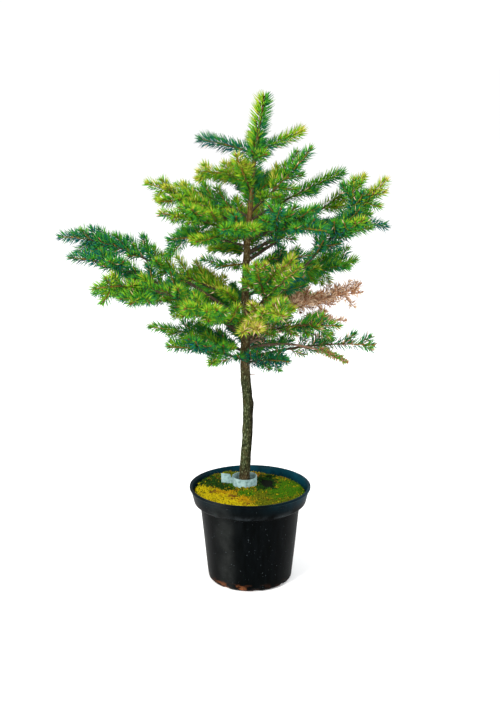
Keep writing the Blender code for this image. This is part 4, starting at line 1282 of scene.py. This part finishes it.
def build_pot():
    """The pot, turned from one profile with eased corners and a slight wobble, notched round its heel."""
    band_foot = POT_HEIGHT - BAND_DEPTH
    outside = [
        (LIP_RADIUS - 2.6 * MM, POT_HEIGHT),
        (LIP_RADIUS - 0.1 * MM, POT_HEIGHT - 0.2 * MM),
        (LIP_RADIUS, POT_HEIGHT - LIP_DEPTH + 0.4 * MM),
        (LIP_RADIUS - 2.4 * MM, POT_HEIGHT - LIP_DEPTH - 0.6 * MM),
        (BAND_FOOT_RADIUS, band_foot),
        (BODY_TOP_RADIUS, band_foot - STEP_DEPTH),
        (FOOT_RADIUS, FOOT_BEVEL),
        (FOOT_RADIUS - FOOT_BEVEL, 0),
        (0.5 * MM, 0),
    ]
    inside = [(0.5 * MM, FLOOR), *inner_wall()[:-1], (LIP_RADIUS - 4.4 * MM, POT_HEIGHT - 0.4 * MM)]
    profile = filled(eased(outside, 1.8 * MM), 4 * MM)
    line = np.concatenate([profile, filled(eased(inside, 1.5 * MM), 6 * MM)])
    rows = len(line)
    turns = np.linspace(0, 2 * math.pi, POT_SIDES, endpoint=False)
    ring = np.stack([np.cos(turns), np.sin(turns), np.zeros(POT_SIDES)], axis=-1)
    points = (line[:, None, :1] * ring + line[:, 1, None, None] * UP).reshape(-1, 3)
    offset = POT_WOBBLE * relief(points, 14.0, 4.0) * np.clip(points[:, 2] / (20 * MM), 0, 1)
    away = np.abs((HEEL_NOTCHES * turns / (2 * math.pi) + 0.3) % 1 - 0.5) * 2
    notch = np.clip((HEEL_NOTCH_SHARE - away) / 0.05, 0, 1)
    heel = np.zeros(rows)
    heel[: len(profile)] = np.clip((HEEL_NOTCH_TOP - profile[:, 1]) / (1.5 * MM), 0, 1)
    heel *= np.clip((line[:, 0] - 0.8 * FOOT_RADIUS) / (4 * MM), 0, 1)
    offset -= HEEL_NOTCH_DEPTH * (heel[:, None] * notch[None]).ravel()
    points = points + offset[:, None] * np.tile(ring, (rows, 1))
    close = grid_faces(2, POT_SIDES)
    close = np.where(close < POT_SIDES, close + (rows - 1) * POT_SIDES, close - POT_SIDES)
    soup = Soup()
    soup.add(points, np.concatenate([grid_faces(rows, POT_SIDES), close])[:, ::-1], 0)
    cut_drains(show("pot_shell", soup, [pot_look()], ["pot"]))


def soil_look():
    stops = ((0.3, (14, 10, 7)), (0.55, (44, 32, 22)), (0.75, (92, 70, 48)))
    return grainy_look("soil_crumbly", (36, 26, 18), (0.95, 0.2), (420.0, 6.0, 0.7), stops, (1.0, 0.002))


def wall_distance(foot, turn, radius):
    """How far it is from foot, level and in the direction of turn, to a circle round the pot's axis."""
    direction = np.array([math.cos(turn), math.sin(turn)])
    half = foot @ direction
    return -half + math.sqrt(half**2 - foot @ foot + radius**2)


def soil_height(share):
    return SOIL_CREST - GAP + (SOIL_EDGE - SOIL_CREST) * share**1.3


def moss_bump(x, y):
    slow = np.sin(46 * x + 1.0) * np.cos(39 * y - 0.6)
    quick = np.sin(131 * x - 2.0) * np.sin(117 * y + 0.9)
    return MOSS_BUMP * (0.6 * slow + 0.4 * quick)


FOOT_SPOT = np.array([TRUNK[0][1], TRUNK[0][2]])
HOLLOW = np.array([30.0, 38.0]) * MM  # a bare dark hollow beside the trunk
HOLLOW_HALF = np.array([14.5, 31.0]) * MM
HOLLOW_BARE = 0.95  # how far from the hollow's middle its dark ground, tuftless ground, shade and slope end
HOLLOW_TUFTLESS = 0.9
HOLLOW_SHADE = 1.3
HOLLOW_SLOPE = 1.2
HOLLOW_DEPTH = 9 * MM
# painted shade: the hollow's ground is near black for the shade that falls in it
HOLLOW_PAINTED_SHADE = (14, 22, 11)

# Moss colours, by their place in the list
MOSS_LOOKS = (
    ("golden", (190, 172, 14)),
    ("mustard", (176, 138, 12)),
    ("olive", (96, 104, 14)),
    ("grass", (64, 110, 8)),
    ("shade", (30, 62, 14)),
    ("russet", (118, 82, 22)),
)
# shade is painted shade: a dark moss tone laid where the crown, the hollow and the pot wall shade the moss
SHADE = 4

# Where each colour grows, and where painted shade lies (kind 4): its place in the list, then sideways, depth
# and radius in millimetres
MOSS_PATCHES = (
    (0, -62, -34, 30), (0, -34, -66, 34), (0, 4, -84, 20), (1, -48, -14, 18), (1, -12, -50, 20),
    (0, -84, 0, 18), (5, -30, -34, 10), (5, -4, -70, 8), (5, -64, -10, 9), (3, 52, -16, 34),
    (3, 76, 6, 26), (2, 26, -62, 26), (3, 58, 36, 24), (2, 22, -30, 22), (5, 6, 68, 18), (2, 34, 62, 18),
    (5, 44, 40, 14), (2, -34, 66, 22), (4, -66, 34, 26), (4, -40, 12, 18), (3, -30, 20, 12),
    (3, -6, -20, 14), (2, 64, -50, 18), (4, 20, 8, 12),
)
MOSS_RINGS = 60
MOSS_SIDES = 220
MOSS_START = MOSS_HOLE * 0.75
MOSS_WALL_GAP = 2.5 * MM
MOSS_SKIRT = 7 * MM
REAR_LEFT_RISE = 3 * MM
RIGHT_FALL = 4 * MM
MOSS_GRAIN = 0.8 * MM
THINNEST_MOSS = 0.5 * MM
CUSHION_SCALE = 110.0
CUSHION_RISE = (1.5, 4.2)  # millimetres at a cushion's middle, and lost on the way out of it
TUFTS = 6400
TUFT_LEAVES = 5
TUFT_RADIUS = 0.5 * MM
TUFT_SINK = 0.4 * MM
TUFT_HEIGHTS = (1.6, 3.8)  # millimetres
TUFT_LEANS = (0.15, 1.15)
TUFTLESS_FOOT = 11.5 * MM


def level_spots(x, y):
    return np.stack([x, y, 0 * x], axis=-1)


def moss_kind(x, y, rng):
    """Each point's colour of moss, by the patch it lies deepest in, with ragged edges and stray tufts, and
    painted shade round the hollow.
    """
    score = np.zeros((len(x), len(MOSS_LOOKS)))
    for kind, px, py, size in MOSS_PATCHES:
        inside = np.exp(-(((x - px * MM) ** 2 + (y - py * MM) ** 2) / (size * MM) ** 2))
        score[:, kind] = np.maximum(score[:, kind], inside)
    spots = level_spots(x, y)
    for kind in range(len(MOSS_LOOKS)):
        score[:, kind] += 0.34 * relief(spots, 150.0, 3.0 + kind)
    score += rng.gumbel(0, 0.18, score.shape)
    return np.where(from_hollow(x, y) < HOLLOW_SHADE, SHADE, score.argmax(axis=1))


def from_hollow(x, y):
    """Distance from the hollow's middle, which is 1 at its ragged edge."""
    spots = level_spots(x, y)
    ragged = 1 + 0.45 * relief(spots, 85.0, 21.0) + 0.30 * relief(spots, 260.0, 22.0)
    return ragged * np.hypot((x - HOLLOW[0]) / HOLLOW_HALF[0], (y - HOLLOW[1]) / HOLLOW_HALF[1])


def moss_surface(share, x, y):
    """Height of the moss, cushioned over the source's own surface, with a bare hollow."""
    edge = np.minimum(1.0, 4 * np.minimum(share, 1 - share) + MOSS_RIM_SHARE)
    height = soil_height(share) + GAP + MOSS_THICKNESS * edge + moss_bump(x, y) * edge
    height += REAR_LEFT_RISE * np.clip((10 * MM - x) / (50 * MM), 0, 1) * np.clip(y / (60 * MM), 0, 1)
    right = np.clip((x - 20 * MM) / (40 * MM), 0, 1)
    height -= RIGHT_FALL * right * np.clip((y + 10 * MM) / (50 * MM), 0, 1)
    spots = level_spots(x, y)
    from_middle = np.array([noise.voronoi(Vector(p) * CUSHION_SCALE)[0][0] for p in spots])
    rise, fall = CUSHION_RISE
    height += (rise - fall * from_middle) * MM * edge + MOSS_GRAIN * relief(spots, 260.0, 9.0)
    sink = np.clip(HOLLOW_SLOPE - from_hollow(x, y), 0, 1)
    return np.maximum(height - HOLLOW_DEPTH * sink**0.7, soil_height(share) + GAP + THINNEST_MOSS)


def build_moss():
    shares = np.linspace(0, 1, MOSS_RINGS) ** 1.05
    turns = np.linspace(0, 2 * math.pi, MOSS_SIDES, endpoint=False)
    wall = inner_pot_radius(SOIL_EDGE) - MOSS_WALL_GAP
    far = np.array([wall_distance(FOOT_SPOT, turn, wall) for turn in turns])
    ragged = 1 + 0.012 * np.sin(9 * turns) + 0.010 * np.sin(23 * turns + 1)
    reach = MOSS_START + shares[:, None] * (far * np.minimum(ragged, 1.0) - MOSS_START)
    x = (FOOT_SPOT[0] + reach * np.cos(turns)).ravel()
    y = (FOOT_SPOT[1] + reach * np.sin(turns)).ravel()
    share = np.repeat(shares, MOSS_SIDES)
    top = np.stack([x, y, moss_surface(share, x, y)], axis=-1)
    rng = np.random.default_rng(11)
    faces = grid_faces(MOSS_RINGS, MOSS_SIDES)
    kind = np.where(from_hollow(x, y) < HOLLOW_BARE, len(MOSS_LOOKS), moss_kind(x, y, rng))
    soup = Soup()
    soup.add(top, faces, kind[faces[:, 0]])
    rim = top[-MOSS_SIDES:]
    # the skirt down towards the pot wall, in the painted-shade tone
    soup.add(np.concatenate([rim, rim - MOSS_SKIRT * UP]), grid_faces(2, MOSS_SIDES), SHADE)
    looks = [moss_look(name, colour) for name, colour in (*MOSS_LOOKS, ("hollow", HOLLOW_PAINTED_SHADE))]
    show("moss_bed", soup, looks, ["moss"])
    build_tufts(rng, wall)


def moss_look(name, colour):
    """The bed between the tufts, darker than they are: painted shade among them."""
    dark, middle = (tuple(int(share * c) for c in colour) for share in (0.35, 0.72))
    stops = ((0.36, dark), (0.55, middle), (0.7, colour))
    return grainy_look("moss_" + name, colour, (0.95, 0.05), (560.0, 5.0, 0.6), stops, (1.0, 0.002))


def build_tufts(rng, wall):
    """Tufts of moss: short pointed leaves in stars, standing on the bed, coloured by patch."""
    turn = rng.uniform(0, 2 * math.pi, TUFTS)
    radius = wall * np.sqrt(rng.uniform(0.0, 0.985, TUFTS))
    x, y = radius * np.cos(turn), radius * np.sin(turn)
    from_foot = np.hypot(x - FOOT_SPOT[0], y - FOOT_SPOT[1])
    angle = np.arctan2(y - FOOT_SPOT[1], x - FOOT_SPOT[0])
    far = np.array([wall_distance(FOOT_SPOT, a, wall) for a in angle])
    share = np.clip((from_foot - MOSS_START) / (far - MOSS_START), 0, 1)
    keep = (from_foot > TUFTLESS_FOOT) & (from_hollow(x, y) > HOLLOW_TUFTLESS)
    x, y, share = x[keep], y[keep], share[keep]
    z = moss_surface(share, x, y) - TUFT_SINK
    kinds = moss_kind(x, y, rng)
    start = np.repeat(np.stack([x, y, z], axis=-1), TUFT_LEAVES, axis=0)
    count = len(start)
    spin = rng.uniform(0, 2 * math.pi, count)
    lean = rng.uniform(*TUFT_LEANS, count)
    direction = unit(np.stack([np.cos(spin) * lean, np.sin(spin) * lean, np.ones(count)], axis=-1))
    length = rng.uniform(*TUFT_HEIGHTS, count) * MM
    side = unit(np.cross(direction, np.array([0.3, 0.5, 0.1])))
    high = np.cross(side, direction)
    points = np.empty((count, 4, 3))
    for k in range(3):
        around = math.cos(k * 2 * math.pi / 3) * side + math.sin(k * 2 * math.pi / 3) * high
        points[:, k] = start + TUFT_RADIUS * around
    points[:, 3] = start + length[:, None] * direction
    pattern = np.array([(0, 1, 3), (1, 2, 3), (2, 0, 3)])
    faces = pattern[None] + 4 * np.arange(count)[:, None, None]
    soup = Soup()
    soup.add(points.reshape(-1, 3), faces.reshape(-1, 3), np.repeat(kinds, 3 * TUFT_LEAVES))
    looks = [material("tuft_" + name, colour, 0.9, 0.06) for name, colour in MOSS_LOOKS]
    show("moss_tufts", soup, looks)


LABEL_OPENING = 0.16  # where the loop's end stops short of a full turn, in radians
LABEL_SHIFT = np.array([1.0, -2.0]) * MM
LABEL_TAIL_BACK = 5 * MM
LABEL_TAIL_RISE = 3.2 * MM
LABEL_CLEAR = 0.2 * MM
LABEL_NECK = 1.8 * MM  # the notch between tail and loop: its half width, and its cuts from below and above
LABEL_CUT_BELOW = 1.6 * MM
LABEL_CUT_ABOVE = 3.4 * MM
LABEL_WAVE = 0.9 * MM
LABEL_LEAN = 0.8 * MM


def label_look():
    stops = ((0.3, (88, 113, 111)), (0.5, (133, 162, 162)), (0.75, (164, 190, 190)))
    return grainy_look("label_white", (172, 204, 204), (0.5, 0.2), (160.0, 4.0, 0.6), stops)


def build_label():
    """The blank loop label: a strip on its edge round the trunk's foot, with a wider tail to the left."""
    centre = trunk_centre(np.array(LABEL_FOOT))[:2] + LABEL_SHIFT
    turns = np.linspace(math.pi, 3 * math.pi - LABEL_OPENING, 96)
    ring = centre + LABEL_RADIUS * np.stack([np.cos(turns), np.sin(turns)], axis=-1)
    tail_end = ring[0] + np.array([-LABEL_TAIL, LABEL_TAIL_BACK])
    tail = ring[0] + (tail_end - ring[0]) * np.linspace(1, 0.03, 26)[:, None]
    line = np.concatenate([tail, ring])
    run = along(np.column_stack([line, np.zeros(len(line))]))
    ahead = unit(np.gradient(line, axis=0))
    aside = np.stack([-ahead[:, 1], ahead[:, 0]], axis=-1)
    notch = np.exp(-(((run - LABEL_TAIL + 1 * MM) / LABEL_NECK) ** 2))
    wide = np.clip((LABEL_TAIL - 2 * MM - run) / (2.5 * MM), 0, 1)
    low = LABEL_FOOT + LABEL_CLEAR + LABEL_CUT_BELOW * notch
    high = LABEL_FOOT + LABEL_HEIGHT + LABEL_TAIL_RISE * wide - LABEL_CUT_ABOVE * notch
    steps = np.linspace(0, 1, 9)
    heights = low[:, None] + (high - low)[:, None] * steps[None]
    wave = LABEL_WAVE * np.sin(run * 130)[:, None] * (steps[None] - 0.5)
    curl = wave + LABEL_LEAN * (steps[None] - 0.2)
    sheets = []
    for offset in (-0.4, 0.4):
        out = -offset * LABEL_THICKNESS - curl
        level = line[:, None] + out[..., None] * aside[:, None]
        sheets.append(np.concatenate([level, heights[..., None]], axis=-1))
    soup = Soup()
    faces = grid_faces(len(line), len(steps), closed=False)
    soup.add(sheets[0].reshape(-1, 3), faces, 0)
    soup.add(sheets[1].reshape(-1, 3), faces[:, ::-1], 0)
    for edge in (np.s_[:, 0], np.s_[:, -1], np.s_[0, :], np.s_[-1, :]):
        strip = np.stack([sheets[0][edge], sheets[1][edge]])
        soup.add(strip.reshape(-1, 3), grid_faces(2, strip.shape[1], closed=False), 0)
    show("label_strip", soup, [label_look()], ["loop_label"])


# The camera, from the photograph's vanishing and the pot's ellipses
CAMERA_PLACE = (0.0, -2.044, 0.9236)
CAMERA_PITCH = 14.24
FOCAL = 63.46
SENSOR = 36.0
SHIFT_UP = -0.0014

# The studio: brightness all round, the floor, and soft lights by place, target, size, power and colour
SKY_STRENGTH = 1.04
FLOOR_HALF = 40.0
FLOOR_COLOUR = (253, 253, 253)
LIGHTS = {
    "key": ((-1.7, -2.0, 2.3), (0, 0, 0.45), 1.2, 114, (1.0, 0.98, 0.94)),
    "fill": ((1.2, -2.8, 0.9), (0, 0, 0.5), 1.6, 54, (1.0, 1.0, 1.0)),
    "rim": ((1.9, 1.6, 1.8), (0, 0, 0.4), 1.0, 26, (0.9, 0.96, 1.0)),
}


def build_camera():
    data = bpy.data.cameras.new("camera")
    data.lens = FOCAL
    data.sensor_width = SENSOR
    data.sensor_fit = "AUTO"
    data.shift_y = SHIFT_UP
    camera = bpy.data.objects.new("camera", data)
    camera.location = CAMERA_PLACE
    camera.rotation_euler = (math.radians(90 - CAMERA_PITCH), 0, 0)
    bpy.context.scene.collection.objects.link(camera)
    bpy.context.scene.camera = camera


def area_light(name, place, target, size, power, colour):
    data = bpy.data.lights.new(name, "AREA")
    data.shape = "DISK"
    data.size = size
    data.energy = power
    data.color = colour
    lamp = bpy.data.objects.new(name, data)
    lamp.location = place
    lamp.rotation_euler = (Vector(target) - Vector(place)).to_track_quat("-Z", "Y").to_euler()
    bpy.context.scene.collection.objects.link(lamp)


def build_studio():
    world = bpy.data.worlds.new("studio")
    world.use_nodes = True
    sky = world.node_tree.nodes["Background"]
    sky.inputs["Color"].default_value = (1.0, 1.0, 1.0, 1.0)
    sky.inputs["Strength"].default_value = SKY_STRENGTH
    bpy.context.scene.world = world
    bpy.context.scene.view_settings.view_transform = "Standard"
    for name, values in LIGHTS.items():
        area_light(name, *values)
    side = FLOOR_HALF
    data = bpy.data.meshes.new("floor")
    corners = [(-side, -side, 0), (side, -side, 0), (side, side, 0), (-side, side, 0)]
    data.from_pydata(corners, [], [(0, 1, 2, 3)])
    data.materials.append(material("floor_pale", FLOOR_COLOUR, 0.9, 0.0))
    ground = bpy.data.objects.new("floor", data)
    bpy.context.scene.collection.objects.link(ground)


build_camera()
build_studio()
build_trunk()
build_crown()
build_pot()
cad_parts["soil"].data.materials[0] = soil_look()
build_moss()
build_label()
